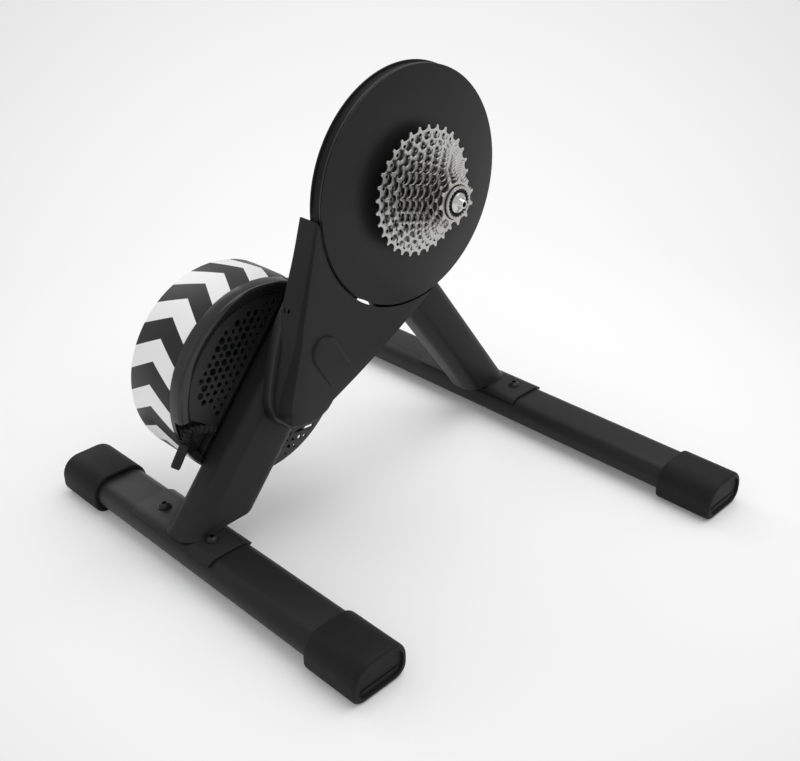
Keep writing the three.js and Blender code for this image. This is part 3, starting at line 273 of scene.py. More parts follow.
def turned(profile, centre, steps=96):
    """A closed profile of (radius, y) spun about an axis along Y."""
    least_gap, least_area = 0.001 * MM, 1e-14
    bm = bmesh.new()
    verts, edges = add_loop(bm, [at((centre[0] + radius, centre[1]), y) for radius, y in profile])
    bmesh.ops.spin(bm, geom=verts + edges, cent=at(centre, 0), axis=(0, 1, 0), dvec=(0, 0, 0),
                   angle=2 * math.pi, steps=steps, use_merge=True)
    bmesh.ops.remove_doubles(bm, verts=bm.verts, dist=least_gap)
    flat = [face for face in bm.faces if face.calc_area() < least_area]
    bmesh.ops.delete(bm, geom=flat, context="FACES_ONLY")
    bmesh.ops.recalc_face_normals(bm, faces=bm.faces)
    return bm


def rod(centre, radius, near, far, steps=24):
    return block(circle(centre, radius, steps), near, far)


def bevel(bm, edges, width, segments):
    bmesh.ops.bevel(bm, geom=edges, offset=width * MM, offset_type="OFFSET", segments=segments, profile=0.5,
                    affect="EDGES", material=-1, clamp_overlap=True)


def soften(bm, width, segments=2, angle=35, keep=lambda edge: True):
    """Rounds every edge sharper than an angle."""
    limit = math.radians(angle)
    edges = [edge for edge in bm.edges
             if edge.is_manifold and edge.calc_face_angle(0) > limit and keep(edge)]
    bevel(bm, edges, width, segments)
    return bm


def merged(parts):
    """One mesh out of several closed ones."""
    whole = bmesh.new()
    for part in parts:
        mesh = bpy.data.meshes.new("part")
        part.to_mesh(mesh)
        part.free()
        whole.from_mesh(mesh)
        bpy.data.meshes.remove(mesh)
    return whole


def combined(bm, tool, operation):
    """The mesh after an exact boolean with another, both consumed."""
    objects = []
    for source in (bm, tool):
        mesh = bpy.data.meshes.new("shape")
        source.to_mesh(mesh)
        source.free()
        made = bpy.data.objects.new("shape", mesh)
        bpy.context.scene.collection.objects.link(made)
        objects.append(made)
    modifier = objects[0].modifiers.new("cut", "BOOLEAN")
    modifier.operation = operation
    modifier.solver = "EXACT"
    modifier.object = objects[1]
    graph = bpy.context.evaluated_depsgraph_get()
    result = bpy.data.meshes.new_from_object(objects[0].evaluated_get(graph))
    out = bmesh.new()
    out.from_mesh(result)
    meshes = [result] + [made.data for made in objects]
    for made in objects:
        bpy.data.objects.remove(made)
    for mesh in meshes:
        bpy.data.meshes.remove(mesh)
    return out


def cut(bm, *tools):
    """The mesh with each tool taken out of it in turn."""
    for tool in tools:
        bm = combined(bm, tool, "DIFFERENCE")
    return bm


def piece(bm, name, body, slot, material, *replaced, sharp=32):
    """Links the finished mesh, rides it on its body and hides the nodes that it stands for."""
    mesh = bpy.data.meshes.new(name)
    for face in bm.faces:
        face.smooth = True
    bm.to_mesh(mesh)
    bm.free()
    if not mesh.polygons:
        raise RuntimeError(f"{name} has no faces")
    mesh.set_sharp_from_angle(angle=math.radians(sharp))
    mesh.materials.append(finishes[material].material)
    made = bpy.data.objects.new(name, mesh)
    bpy.context.scene.collection.objects.link(made)
    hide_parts(*replaced)
    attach(made, body)


# Finishes

finishes = {}


def opaque(tone, factor=1.0):
    """A colour with its alpha, made lighter or darker by a factor."""
    return (*(min(value * factor, 1.0) for value in tone[:3]), 1.0)


class Signal:
    """A shader socket that takes Python arithmetic."""

    def __init__(self, tree, socket=None):
        self.tree = tree
        self.socket = socket

    def node(self, kind, inputs=None, output=0, **settings):
        """Adds a node: its settings first, then the values or signals of its sockets."""
        made = self.tree.nodes.new(kind)
        for key, value in settings.items():
            setattr(made, key, value)
        for key, value in (inputs or {}).items():
            if isinstance(value, Signal):
                self.tree.links.new(value.socket, made.inputs[key])
            else:
                made.inputs[key].default_value = value
        return Signal(self.tree, made.outputs[output])

    def math(self, operation, *others):
        return self.node("ShaderNodeMath", dict(enumerate((self, *others))), operation=operation)

    def __add__(self, other):
        return self.math("ADD", other)

    def __sub__(self, other):
        return self.math("SUBTRACT", other)

    def __mul__(self, other):
        return self.math("MULTIPLY", other)

    def __rsub__(self, other):
        return self.node("ShaderNodeMath", {0: other, 1: self}, operation="SUBTRACT")

    __radd__ = __add__
    __rmul__ = __mul__

    def above(self, limit):
        return self.math("GREATER_THAN", limit)

    def distance(self, other):
        """How far from the middle a point lies, by its two offsets."""
        return (self * self + other * other).math("SQRT")

    def parts(self):
        """The X, Y and Z of a vector."""
        split = self.node("ShaderNodeSeparateXYZ", {0: self}).socket.node
        return [Signal(self.tree, socket) for socket in split.outputs]

    def clamped(self, low, high):
        return self.node("ShaderNodeMapRange", {0: self, 1: low, 2: high, 3: 0.0, 4: 1.0}, clamp=True)

    def blend(self, first, second):
        """One colour where this is 0, the other where it is 1."""
        return self.node("ShaderNodeMix", {0: self, 6: first, 7: second}, output=2, data_type="RGBA")


class Finish:
    """A material on Object coordinates, built up from its base values."""

    def __init__(self, name, tone, roughness, metallic=0.0, specular=0.5):
        self.material = bpy.data.materials.new(name)
        self.material.use_nodes = True
        self.tree = self.material.node_tree
        self.shader = self.tree.nodes["Principled BSDF"]
        self.tone = opaque(tone)
        self.shader.inputs["Base Color"].default_value = self.tone
        self.shader.inputs["Roughness"].default_value = roughness
        self.shader.inputs["Metallic"].default_value = metallic
        self.shader.inputs["Specular IOR Level"].default_value = specular
        self.position = Signal(self.tree).node("ShaderNodeTexCoord", output="Object")
        finishes[name] = self

    def feed(self, socket, signal):
        self.tree.links.new(signal.socket, self.shader.inputs[socket])

    def noise(self, scale, detail=2.0, roughness=0.5, vector=None):
        return self.position.node("ShaderNodeTexNoise", {
            "Vector": vector or self.position, "Scale": scale, "Detail": detail, "Roughness": roughness})

    def radius_and_angle(self, centre):
        """Distance from an axis along Y and angle round it, from +X towards +Z."""
        x, _, z = self.position.parts()
        across, up = x - centre[0] * MM, z - centre[1] * MM
        return across.distance(up), up.math("ARCTAN2", across)

    def tint(self, amount, scale):
        """Clouds the base colour by a share of itself."""
        darker, lighter = opaque(self.tone, 1 - amount), opaque(self.tone, 1 + amount)
        self.feed("Base Color", self.noise(scale).blend(darker, lighter))

    def vary_roughness(self, middle, spread, scale):
        self.feed("Roughness", (self.noise(scale, 4.0) - 0.5) * (2 * spread) + middle)

    def bump(self, height, strength, distance):
        raised = self.position.node("ShaderNodeBump", {
            "Strength": strength, "Distance": distance * MM, "Height": height})
        self.feed("Normal", raised)


def powder_coat(name, tone, roughness):
    made = Finish(name, tone, roughness, specular=0.22)
    made.tint(0.10, 14.0)
    made.vary_roughness(roughness, 0.05, 60.0)
    made.bump(made.noise(1500.0, 3.0, 0.6), 0.16, 0.12)


def moulded_plastic(name, tone, roughness):
    made = Finish(name, tone, roughness, specular=0.22)
    made.tint(0.08, 20.0)
    made.vary_roughness(roughness, 0.06, 90.0)
    made.bump(made.noise(2600.0, 2.0, 0.7), 0.22, 0.10)


def plastic_with_painted_fold_shade(name, tone, roughness):
    """Moulded plastic with painted shade on a band that widens down the housing's wall, where the folded edge
    lies in shade, to a dark seam at its foot.
    """
    top, bend, foot = 352 * MM, 240 * MM, 162 * MM
    top_width, widening, lower_widening = 3.3 * MM, 0.033, 0.13
    foot_x, lean, seam_slope, seam_end = -144.5 * MM, 0.24, 0.48, 18 * MM
    fold_shade_strength, seam_share = 0.7, 0.8
    made = Finish(name, tone, roughness, specular=0.22)
    x, y, z = made.position.parts()
    depth = y - HOUSING_FRONT * MM
    width = (top - z) * widening + (bend - z).math("MAXIMUM", 0.0) * lower_widening + top_width
    level = z + depth * seam_slope - foot
    on_wall = 1 - (x - (z - foot) * lean - foot_x).clamped(5 * MM, 7 * MM)
    # Painted shade of the fold: a band behind the front edge, widening downwards, darkened as if in shadow
    painted_fold_shade = depth.clamped(0.3 * MM, 1.0 * MM) * (1 - (depth - width).clamped(-0.5 * MM, 0.5 * MM))
    painted_fold_shade = painted_fold_shade * level.clamped(-0.4 * MM, 0.4 * MM) * fold_shade_strength
    seam = 1 - level.math("ABSOLUTE").clamped(0.4 * MM, 1.0 * MM)
    seam = seam * (1 - depth.clamped(seam_end, seam_end + 1.0 * MM)) * seam_share
    made.feed("Base Color", (painted_fold_shade.math("MAXIMUM", seam) * on_wall).blend(made.tone, (0.0, 0.0, 0.0, 1.0)))
    made.vary_roughness(roughness, 0.06, 90.0)
    made.bump(made.noise(2600.0, 2.0, 0.7), 0.22, 0.10)


def rimmed_plastic(name, tone):
    """Moulded plastic that shines on the cover's turned rim."""
    dull, gloss = 0.5, 0.32
    made = Finish(name, tone, dull)
    made.tint(0.08, 20.0)
    radius, _ = made.radius_and_angle(SHAFT)
    shine = radius.clamped(96.8 * MM, 98.2 * MM)
    made.feed("Roughness", made.noise(90.0, 4.0) * 0.05 + dull - shine * gloss)
    made.bump(made.noise(2600.0, 2.0, 0.7) * (1 - shine), 0.12, 0.08)


def rubber(name, tone):
    made = Finish(name, tone, 0.62, specular=0.2)
    made.tint(0.18, 30.0)
    made.vary_roughness(0.60, 0.09, 45.0)
    made.bump(made.noise(900.0, 5.0, 0.65), 0.25, 0.20)


def black_oxide(name):
    made = Finish(name, (0.022, 0.022, 0.024), 0.36, metallic=0.6)
    made.tint(0.2, 200.0)
    made.vary_roughness(0.36, 0.08, 400.0)
    made.bump(made.noise(1800.0, 3.0), 0.12, 0.08)


def plated_steel(name, tone, roughness, centre, warm=None):
    """Steel with fine rings left by turning, and a faint warm cast towards the middle."""
    made = Finish(name, tone, roughness, metallic=1.0)
    radius, _ = made.radius_and_angle(centre)
    rings = made.noise(1.0, 2.0, vector=radius.node("ShaderNodeCombineXYZ", {0: radius * 2600.0}))
    clouds = made.noise(140.0, 3.0)
    base = clouds.blend(opaque(tone, 0.84), opaque(tone))
    if warm:
        near = 1 - radius.clamped(18 * MM, 46 * MM)
        base = (near * 0.4).blend(base, opaque(warm))
    made.feed("Base Color", base)
    made.feed("Roughness", rings * 0.12 + clouds * 0.10 + (roughness - 0.11))
    made.bump(rings, 0.08, 0.05)


def steel_with_painted_recess_shade(name, tone, inner, outer):
    """Steel with painted shade: black between two radii, over the lockring's notched recess."""
    made = Finish(name, tone, 0.34, metallic=1.0)
    radius, _ = made.radius_and_angle(HUB)
    soft = 0.2
    past_inner = radius.clamped(inner * MM, (inner + soft) * MM)
    recess = past_inner * (1 - radius.clamped((outer - soft) * MM, outer * MM))
    clouds = made.noise(160.0, 3.0)
    steel = clouds.blend(opaque(tone, 0.8), opaque(tone))
    # Painted shade: the notched recess between the two radii is coloured black
    made.feed("Base Color", recess.blend(steel, opaque((0.02, 0.02, 0.02))))
    made.feed("Roughness", clouds * 0.12 + 0.28)


def cast_metal(name, tone, roughness, metallic):
    made = Finish(name, tone, roughness, metallic=metallic)
    made.tint(0.12, 50.0)
    made.vary_roughness(roughness, 0.08, 120.0)
    made.bump(made.noise(700.0, 6.0, 0.7), 0.3, 0.25)


def chevrons(name, light, dark):
    """Equal light and dark bands that bend at the drum's middle."""
    pairs, bend_y, lean, first_angle, edge = 14, 106, 0.285, 137.6, 0.004
    made = Finish(name, dark, 0.4, specular=0.3)
    radius, angle = made.radius_and_angle(SHAFT)
    _, y, _ = made.position.parts()
    bend = (y - bend_y * MM).math("ABSOLUTE") * (lean / MM)
    phase = ((angle * (180 / math.pi) - bend - first_angle) * (pairs / 360) + 0.25).math("FRACT")
    band = phase.clamped(0.5 - edge, 0.5 + edge) * (1 - phase.clamped(1 - 2 * edge, 1.0))
    outer = radius.above((DRUM_RADIUS - 0.6) * MM)
    clouds = made.noise(25.0, 3.0)
    paint = clouds.blend(opaque(light, 0.93), opaque(light))
    made.feed("Base Color", (band * outer).blend(opaque(dark), paint))
    made.feed("Roughness", clouds * 0.1 + 0.36)
    made.bump(made.noise(1600.0, 3.0), 0.1, 0.08)


def winding(name):
    made = Finish(name, (0.55, 0.22, 0.08), 0.35, metallic=1.0)
    _, y, _ = made.position.parts()
    wires = (y * 2400.0).math("SINE")
    shade, copper = opaque((0.2, 0.06, 0.02)), opaque((0.6, 0.26, 0.1))
    made.feed("Base Color", wires.clamped(-1.0, 1.0).blend(shade, copper))
    made.bump(wires, 0.5, 0.3)


def printed_board(name):
    made = Finish(name, (0.006, 0.009, 0.007), 0.35)
    x, _, z = made.position.parts()
    tracks = ((x * 700.0).math("SINE") * (z * 520.0).math("SINE")).above(0.55)
    made.feed("Base Color", tracks.blend(opaque((0.005, 0.009, 0.006)), opaque((0.012, 0.022, 0.015))))
    made.feed("Roughness", made.noise(80.0) * 0.2 + 0.25)
    made.bump(tracks, 0.2, 0.1)


class TRAINER_OT_finishes(bpy.types.Operator):
    """Makes the materials"""
    bl_idname = "trainer.finishes"
    bl_label = "Finishes"

    def execute(self, context):
        scene = context.scene
        stand, housing = scene.trainer_stand, scene.trainer_housing
        wheel, flywheel = scene.trainer_wheel, scene.trainer_flywheel
        powder_coat("satin powder coat", stand.paint, stand.paint_roughness)
        powder_coat("satin disc paint", wheel.disc, 0.40)
        moulded_plastic("satin housing plastic", housing.plastic, 0.45)
        plastic_with_painted_fold_shade("housing plastic with painted fold shade", housing.plastic, 0.45)
        moulded_plastic("black moulded plastic", flywheel.plastic, 0.55)
        rimmed_plastic("glossy rimmed plastic", flywheel.plastic)
        rubber("black rubber", stand.boot)
        black_oxide("black oxide steel")
        plated_steel("nickel plated sprocket", wheel.steel, 0.30, HUB, warm=(0.44, 0.40, 0.385))
        plated_steel("turned hub steel", (0.38, 0.38, 0.385), 0.30, HUB)
        plated_steel("bright cap steel", (0.68, 0.68, 0.67), 0.27, HUB)
        plated_steel("turned shaft steel", (0.50, 0.50, 0.51), 0.32, SHAFT)
        steel_with_painted_recess_shade("notched ring steel with painted recess shade", (0.48, 0.48, 0.475), 10.0, 13.7)
        cast_metal("spacer anodising", wheel.spacer, 0.38, 0.8)
        cast_metal("black anodising", (0.020, 0.020, 0.021), 0.42, 0.3)
        chevrons("chevron paint", flywheel.light, flywheel.dark)
        winding("copper winding")
        printed_board("printed board")
        return {"FINISHED"}


# Stand

FEET = (("rear", -FOOT_X, -234.6, 250.0), ("front", FOOT_X, -312.0, 312.0))
LEGS = (("rear", (-211.5, 41.7), 50.21, 70.7, -FOOT_X), ("front", (214.2, 41.7), 126.77, 54.5, FOOT_X))


class TRAINER_OT_feet(bpy.types.Operator):
    """Makes the two oval foot tubes"""
    bl_idname = "trainer.feet"
    bl_label = "Foot tubes"

    def execute(self, context):
        hidden_end = 6.4
        for name, x, near, far in FEET:
            outline = stadium((x, FOOT_MIDDLE), FOOT_WIDTH, FOOT_HEIGHT)
            tube = soften(block(outline, near + hidden_end, far - hidden_end), 0.5)
            piece(tube, f"{name}_foot_oval", "frame", "frame_paint", "satin powder coat", f"{name}_foot_tube")
        return {"FINISHED"}


class TRAINER_OT_foot_boots(bpy.types.Operator):
    """Makes the four rubber boots, each a hollow cap with a dished end"""
    bl_idname = "trainer.foot_boots"
    bl_label = "Foot boots"

    def execute(self, context):
        stand = context.scene.trainer_stand
        edge, recess = stand.boot_edge / MM, stand.boot_recess / MM
        for name, x, near, far in FEET:
            for side, tip, inward in (("near", near, 1), ("far", far, -1)):
                boot = merged([self.shell(x, tip, inward, edge, recess), self.rib(x, tip, inward, recess)])
                piece(boot, f"{name}_boot_{side}", "frame", "rubber_black", "black rubber",
                      f"{name}_foot_cap_{side}", sharp=50)
        return {"FINISHED"}

    def shell(self, x, tip, inward, edge, recess):
        """Rings from the cavity's floor out to the mouth, over the outside and into the dish."""
        width, height, reach, low_corner, gap, floor = 67.8, 43.4, 68.0, 13.0, 0.5, 6.2
        cavity = oval((x, FOOT_MIDDLE), FOOT_WIDTH + gap, FOOT_HEIGHT + gap, (FOOT_HEIGHT + gap) / 2)

        def ring(inset, depth, outline=None):
            low = min(height / 2 - inset, low_corner)
            shape = outline or oval((x, BOOT_MIDDLE), width - 2 * inset, height - 2 * inset, low)
            return [at(p, tip + inward * depth) for p in shape]

        loops = [ring(0, floor, cavity), ring(0, reach, cavity), ring(1.6, reach), ring(0.4, reach - 0.6),
                 ring(0, reach - 1.8)]
        for degrees in (0, 22.5, 45, 67.5, 90):
            turn = math.radians(degrees)
            loops.append(ring(edge * (1 - math.cos(turn)), edge * (1 - math.sin(turn))))
        loops += [ring(edge + 1.2, 0), ring(edge + 1.7, recess), ring(height / 2 - 0.4, recess)]
        return loft(loops)

    def rib(self, x, tip, inward, recess):
        """The low bar across the dish, below its middle."""
        drop, width, height, buried, proud = 8.6, 46, 2.2, 0.5, 1.1
        outline = rounded((x, BOOT_MIDDLE - drop), width, height, 0.8, steps=2)
        return block(outline, tip + inward * (recess + buried), tip + inward * (recess - proud))


class TRAINER_OT_saddles(bpy.types.Operator):
    """Makes the formed plates that wrap the feet under the legs"""
    bl_idname = "trainer.saddles"
    bl_label = "Saddle plates"

    def execute(self, context):
        inner = FOOT_HEIGHT / 2 + 0.3
        outer = inner + 3.0
        reach = (FOOT_WIDTH - FOOT_HEIGHT) / 2
        low, high = 44, 136
        for name, x, _, _ in FEET:
            near, far = (corner[1] for corner in solid_box(f"{name}_saddle_plate"))
            right, left = (x + reach, FOOT_MIDDLE), (x - reach, FOOT_MIDDLE)
            outline = arc(right, outer, low, 90, 10) + arc(left, outer, 90, high, 10)
            outline += arc(left, inner, high, 90, 10) + arc(right, inner, 90, low, 10)
            sheet = soften(block(outline, near, far), 0.7)
            piece(sheet, f"{name}_saddle_sheet", "frame", "frame_paint", "satin powder coat",
                  f"{name}_saddle_plate")
        return {"FINISHED"}


def button_bolt(radius, rise, socket, shank, matrix):
    """A domed bolt with a flange and a hexagon socket, its head towards -Y until the matrix places it."""
    head = radius * 0.82
    dome = [(head * math.sin(math.radians(a)), -rise * (0.25 + 0.75 * math.cos(math.radians(a))))
            for a in (90, 75, 60, 48, 40)]
    flange = [(0.0, shank), (radius * 0.5, shank), (radius * 0.5, 0.0), (radius, 0.0), (radius, -rise * 0.2),
              (radius * 0.9, -rise * 0.25)]
    bolt = turned(flange + dome + [(socket * 1.18, -rise), (0.0, -rise)], (0, 0), steps=36)
    bolt = cut(bolt, block(circle((0, 0), socket, 6), -rise - 1, -rise * 0.35))
    bmesh.ops.transform(bolt, matrix=matrix, verts=bolt.verts)
    return bolt


class TRAINER_OT_saddle_bolts(bpy.types.Operator):
    """Makes the button-head bolts of the saddle plates"""
    bl_idname = "trainer.saddle_bolts"
    bl_label = "Saddle bolts"

    def execute(self, context):
        seat = 42.0
        upright = Matrix.Rotation(math.radians(-90), 4, "X")
        for name, _, _, _ in FEET:
            for side in ("near", "far"):
                low, high = solid_box(f"{name}_saddle_bolt_{side}")
                place = at(((low[0] + high[0]) / 2, seat), (low[1] + high[1]) / 2)
                bolt = button_bolt(7.6, 4.6, 2.9, 14.0, Matrix.Translation(place) @ upright)
                piece(bolt, f"{name}_saddle_screw_{side}", "frame", "black_bolt", "black oxide steel",
                      f"{name}_saddle_bolt_{side}")
        return {"FINISHED"}


def meeting_x():
    """Where the two legs' centre lines cross."""
    slopes = [math.tan(math.radians(lean)) for _, _, lean, _, _ in LEGS]
    (x0, z0), (x1, z1) = LEGS[0][1], LEGS[1][1]
    return (z1 - z0 + slopes[0] * x0 - slopes[1] * x1) / (slopes[0] - slopes[1])


def cut_away(bm, point, normal):
    """Removes what lies on the side the normal points to, and leaves the cut open."""
    geometry = bm.verts[:] + bm.edges[:] + bm.faces[:]
    edge_of_cut = bmesh.ops.bisect_plane(bm, geom=geometry, dist=1e-7, plane_co=point, plane_no=normal,
                                         clear_outer=True)["geom_cut"]
    return of_type(edge_of_cut, bmesh.types.BMEdge)


class TRAINER_OT_legs(bpy.types.Operator):
    """Makes the two leaning legs, mitred together at the top and welded at the foot"""
    bl_idname = "trainer.legs"
    bl_label = "Legs"

    def execute(self, context):
        weld = context.scene.trainer_stand.weld_width
        mitre, half_gap, weld_height = meeting_x(), 0.15, 3.0
        mitre_start = 200.0
        for (name, foot, lean, width, foot_x), side in zip(LEGS, (1, -1)):
            along = at(direction(lean), 0) / MM
            tube = self.open_tube(foot, along, width)
            cut_away(tube, (0, 0, LEG_TOP * MM), (0, 0, 1))
            cut_away(tube, ((mitre - half_gap * side) * MM, 0, 0), (side, 0, 0))
            edges = cut_away(tube, (0, 0, (LEG_BOTTOM + weld_height) * MM), (0, 0, -1))
            self.flare(tube, edges, foot_x, weld, weld_height * MM * along.x / along.z)
            rims = [edge for edge in tube.edges if edge.is_boundary]
            bmesh.ops.holes_fill(tube, edges=rims, sides=0)
            bmesh.ops.recalc_face_normals(tube, faces=tube.faces)
            soften(tube, 0.6, angle=50, keep=lambda edge: min(v.co.z for v in edge.verts) > mitre_start * MM)
            piece(tube, f"{name}_leg_tube", "frame", "frame_paint", "satin powder coat", f"{name}_leg",
                  sharp=40)
        return {"FINISHED"}

    def open_tube(self, foot, along, width):
        """The leg's rounded section drawn out past both its ends."""
        across = Vector((-along.z, 0, along.x))
        section = rounded((0, (LEG_NEAR + LEG_FAR) / 2), width, LEG_FAR - LEG_NEAR, LEG_CORNER, steps=12)
        start = Vector((foot[0], 0, foot[1]))
        loops = [[(start + along * reach + across * u + Vector((0, v, 0))) * MM for u, v in section]
                 for reach in (-120, 460)]
        return loft(loops, close_first=False, close_last=False)

    def flare(self, tube, edges, foot_x, weld, lean_back):
        """Draws the lower end down to the foot, wider by the weld where it stands on the tube."""
        on_foot, half_depth = 31.0, (LEG_FAR - LEG_NEAR) / 2
        verts = of_type(bmesh.ops.extrude_edge_only(tube, edges=edges)["geom"], bmesh.types.BMVert)
        centre = sum((v.co for v in verts), Vector()) / len(verts)
        half_width = max(abs(v.co.x - centre.x) for v in verts)
        for v in verts:
            offset = v.co - centre
            if abs(v.co.x / MM - foot_x) < on_foot:
                v.co.x += weld * offset.x / half_width
                v.co.y += weld * offset.y / (half_depth * MM)
            v.co.x -= lean_back
            v.co.z = LEG_BOTTOM * MM


class TRAINER_OT_top_cap(bpy.types.Operator):
    """Makes the cap that closes the legs' mitred top"""
    bl_idname = "trainer.top_cap"
    bl_label = "Top cap"

    def execute(self, context):
        low, high = solid_box("leg_top_cap")
        width, depth = high[0] - low[0], high[1] - low[1]
        centre = ((low[0] + high[0]) / 2, (low[1] + high[1]) / 2)
        loops = []
        for inset, z in ((0, low[2]), (0, high[2] - 1.2), (0.4, high[2] - 0.4), (1.3, high[2])):
            outline = rounded(centre, width - 2 * inset, depth - 2 * inset, LEG_CORNER - inset)
            loops.append([at((x, z), y) for x, y in outline])
        piece(loft(loops), "leg_top_plug", "frame", "moulded_black", "black moulded plastic", "leg_top_cap",
              sharp=50)
        return {"FINISHED"}


# Frame plate and housing

# Outlines as shares of the way from the flywheel's axis to the wheel's, and of the wall's bulge
PLATE_SHARES = (
    (0.167, 0.733), (0.011, 0.556), (-0.086, 0.454), (-0.165, 0.305), (-0.218, 0.147), (-0.239, 0.035),
    (-0.22, -0.043), (-0.188, -0.09), (-0.126, -0.128), (-0.018, -0.192), (0.248, -0.182), (0.374, -0.11),
    (0.454, -0.007), (0.473, 0.28), (0.54, 0.455), (0.577, 0.493), (0.654, 0.508), (0.752, 0.447),
    (0.801, 0.351), (0.864, 0.264), (1.017, 0.224), (1.171, 0.254), (1.241, 0.371), (1.2, 0.65))
HOUSING_LEFT = (
    (0.111, 0.979, 0), (0.053, 0.796, 0.3), (-0.005, 0.608, 0.9), (-0.046, 0.486, 1), (-0.091, 0.332, 0.5),
    (-0.182, 0.095, 0.25), (-0.199, -0.004, 0.1), (-0.198, -0.059, 0))
HOUSING_CORNER = ((-0.19, -0.063), (-0.137, -0.081), (-0.046, -0.084), (0.052, -0.083), (0.115, -0.063))
WALL_BULGE = 7.9
# The lower edge's two ends, and the point that its curve leans to between them
HOUSING_LOWER = ((-89.6, 156.8), (-12, 190), (62, 236.8))


def housing_outlines():
    """The housing's front and back outlines, down its left and along its lower edge."""
    steps = 16
    start, middle, end = (Vector(point) for point in HOUSING_LOWER)
    lower = []
    for i in range(steps + 1):
        t = i / steps
        lower.append(tuple(start * (1 - t) ** 2 + middle * 2 * t * (1 - t) + end * t * t))
    outlines = []
    for bulge in (0.0, WALL_BULGE):
        left = []
        for share_x, share_z, out in HOUSING_LEFT:
            x, z = between(share_x, share_z)
            left.append((x - bulge * out, z))
        corner = [between(*shares) for shares in HOUSING_CORNER]
        outlines.append(smooth_path(left, 4) + smooth_path(corner, 3) + lower)
    return outlines


class TRAINER_OT_housing(bpy.types.Operator):
    """Makes the belt housing: a dished front with side walls, a round notch and a raised boss"""
    bl_idname = "trainer.housing"
    bl_label = "Belt housing"

    def execute(self, context):
        settings = context.scene.trainer_housing
        shell = cut(self.shell(settings.edge / MM, settings.wall), self.notch())
        piece(merged([shell, self.boss(settings.boss_rise / MM)]), "belt_housing", "frame", "moulded_black",
              "housing plastic with painted fold shade", "housing_front", sharp=28)
        return {"FINISHED"}

    def shell(self, edge, wall):
        """The front panel up to the wheel's disc, with its walls drawn back."""
        front, back = housing_outlines()
        middle = (HUB[0] + 0.4, HUB[1] - 1.76)
        last = math.degrees(math.atan2(front[-1][1] - middle[1], front[-1][0] - middle[0]))
        first = math.degrees(math.atan2(front[0][1] - middle[1], front[0][0] - middle[0])) % 360 - 360
        around = arc(middle, WHEEL_RADIUS + 0.8, last, first, 40)
        bm = bmesh.new()
        verts, edges = add_loop(bm, [at(p, HOUSING_FRONT) for p in front + around[1:-1]])
        panel = bm.faces.new(verts)
        walled = len(front)
        rim = edges[:walled - 1]
        push_edges(bm, rim, verts[:walled], [at(p, HOUSING_BACK) for p in back])
        bmesh.ops.recalc_face_normals(bm, faces=bm.faces)
        if panel.normal.y > 0:
            bmesh.ops.reverse_faces(bm, faces=bm.faces)
        bevel(bm, rim, edge, 3)
        bmesh.ops.solidify(bm, geom=bm.faces[:], thickness=wall)
        return bm

    def notch(self):
        radius, depth = 3.6, 26
        bm = bmesh.new()
        bmesh.ops.create_cone(bm, cap_ends=True, segments=20, radius1=radius * MM, radius2=radius * MM,
                              depth=depth * MM, matrix=Matrix.Translation(at((-128, 266.6), -0.3))
                              @ Matrix.Rotation(math.radians(90), 4, "Y"))
        return bm

    def boss(self, rise):
        """Proud at its round end, and fading into the panel's lower edge."""
        centre, radius, run, reach, lean, buried = between(0.128, 0.288), 16.0, 50.0, 40.0, -59.3, 0.8
        heading = direction(lean)
        end = tuple(Vector(centre) + heading * reach)
        outline = arc(centre, radius, lean + 90, lean + 270, 24)
        outline += [polar(end, radius, lean - 90), polar(end, radius, lean + 90)]
        loops = []
        for inset, drop in ((-1.0, None), (0.0, 0.9), (0.5, 0.35), (1.6, 0.0)):
            shrink = 1 - inset / radius
            loop = []
            for point in outline:
                offset = Vector(point) - Vector(centre)
                along = offset.dot(heading)
                side = offset - heading * along
                share_left = 1 - max(0.0, min(1.0, along / run))
                spot = offset * shrink if along <= 0 else heading * along + side * shrink
                depth = buried if drop is None else (drop - rise) * share_left
                loop.append(at(Vector(centre) + spot, HOUSING_FRONT + depth))
            loops.append(loop)
        return loft(loops)


class TRAINER_OT_frame_plate(bpy.types.Operator):
    """Makes the thick plate that carries the hub, with its two bosses"""
    bl_idname = "trainer.frame_plate"
    bl_label = "Frame plate"

    def execute(self, context):
        shoulder = arc(HUB, 44, 290, 500, 40)
        edge = smooth_path([between(*shares) for shares in PLATE_SHARES], 3)
        plate = soften(block(shoulder + edge, PLATE_FRONT, PLATE_BACK), 1.0)
        hub_boss = self.boss(HUB, 11.2, 26, -2.9, 25.4, 1.2)
        shaft_boss = self.boss(SHAFT, 21.1, 27, PLATE_FRONT - 1.5, 16.9, 0.8)
        piece(merged([plate, hub_boss, shaft_boss]), "frame_web", "frame", "black_aluminium",
              "black anodising", "frame_plate")
        return {"FINISHED"}

    def boss(self, centre, inner, outer, near, far, edge):
        tube = turned([(inner, near), (outer, near), (outer, far), (inner, far)], centre, steps=72)
        return soften(tube, edge)


class TRAINER_OT_side_screw(bpy.types.Operator):
    """Makes the small screw in the plate's edge"""
    bl_idname = "trainer.side_screw"
    bl_label = "Side screw"

    def execute(self, context):
        high, low = (between(*shares) for shares in PLATE_SHARES[1:3])
        slope = math.atan2(high[1] - low[1], high[0] - low[0])
        turn = Matrix.Rotation(slope - math.pi / 2, 4, "Y") @ Matrix.Rotation(math.radians(-90), 4, "Z")
        middle = at(((low[0] + high[0]) / 2, (low[1] + high[1]) / 2), (PLATE_FRONT + PLATE_BACK) / 2)
        screw = button_bolt(3.2, 2.0, 1.2, 6.0, Matrix.Translation(middle) @ turn)
        piece(screw, "plate_edge_screw", "frame", "black_bolt", "black oxide steel", "side_screw")
        return {"FINISHED"}


# Wheel and cassette

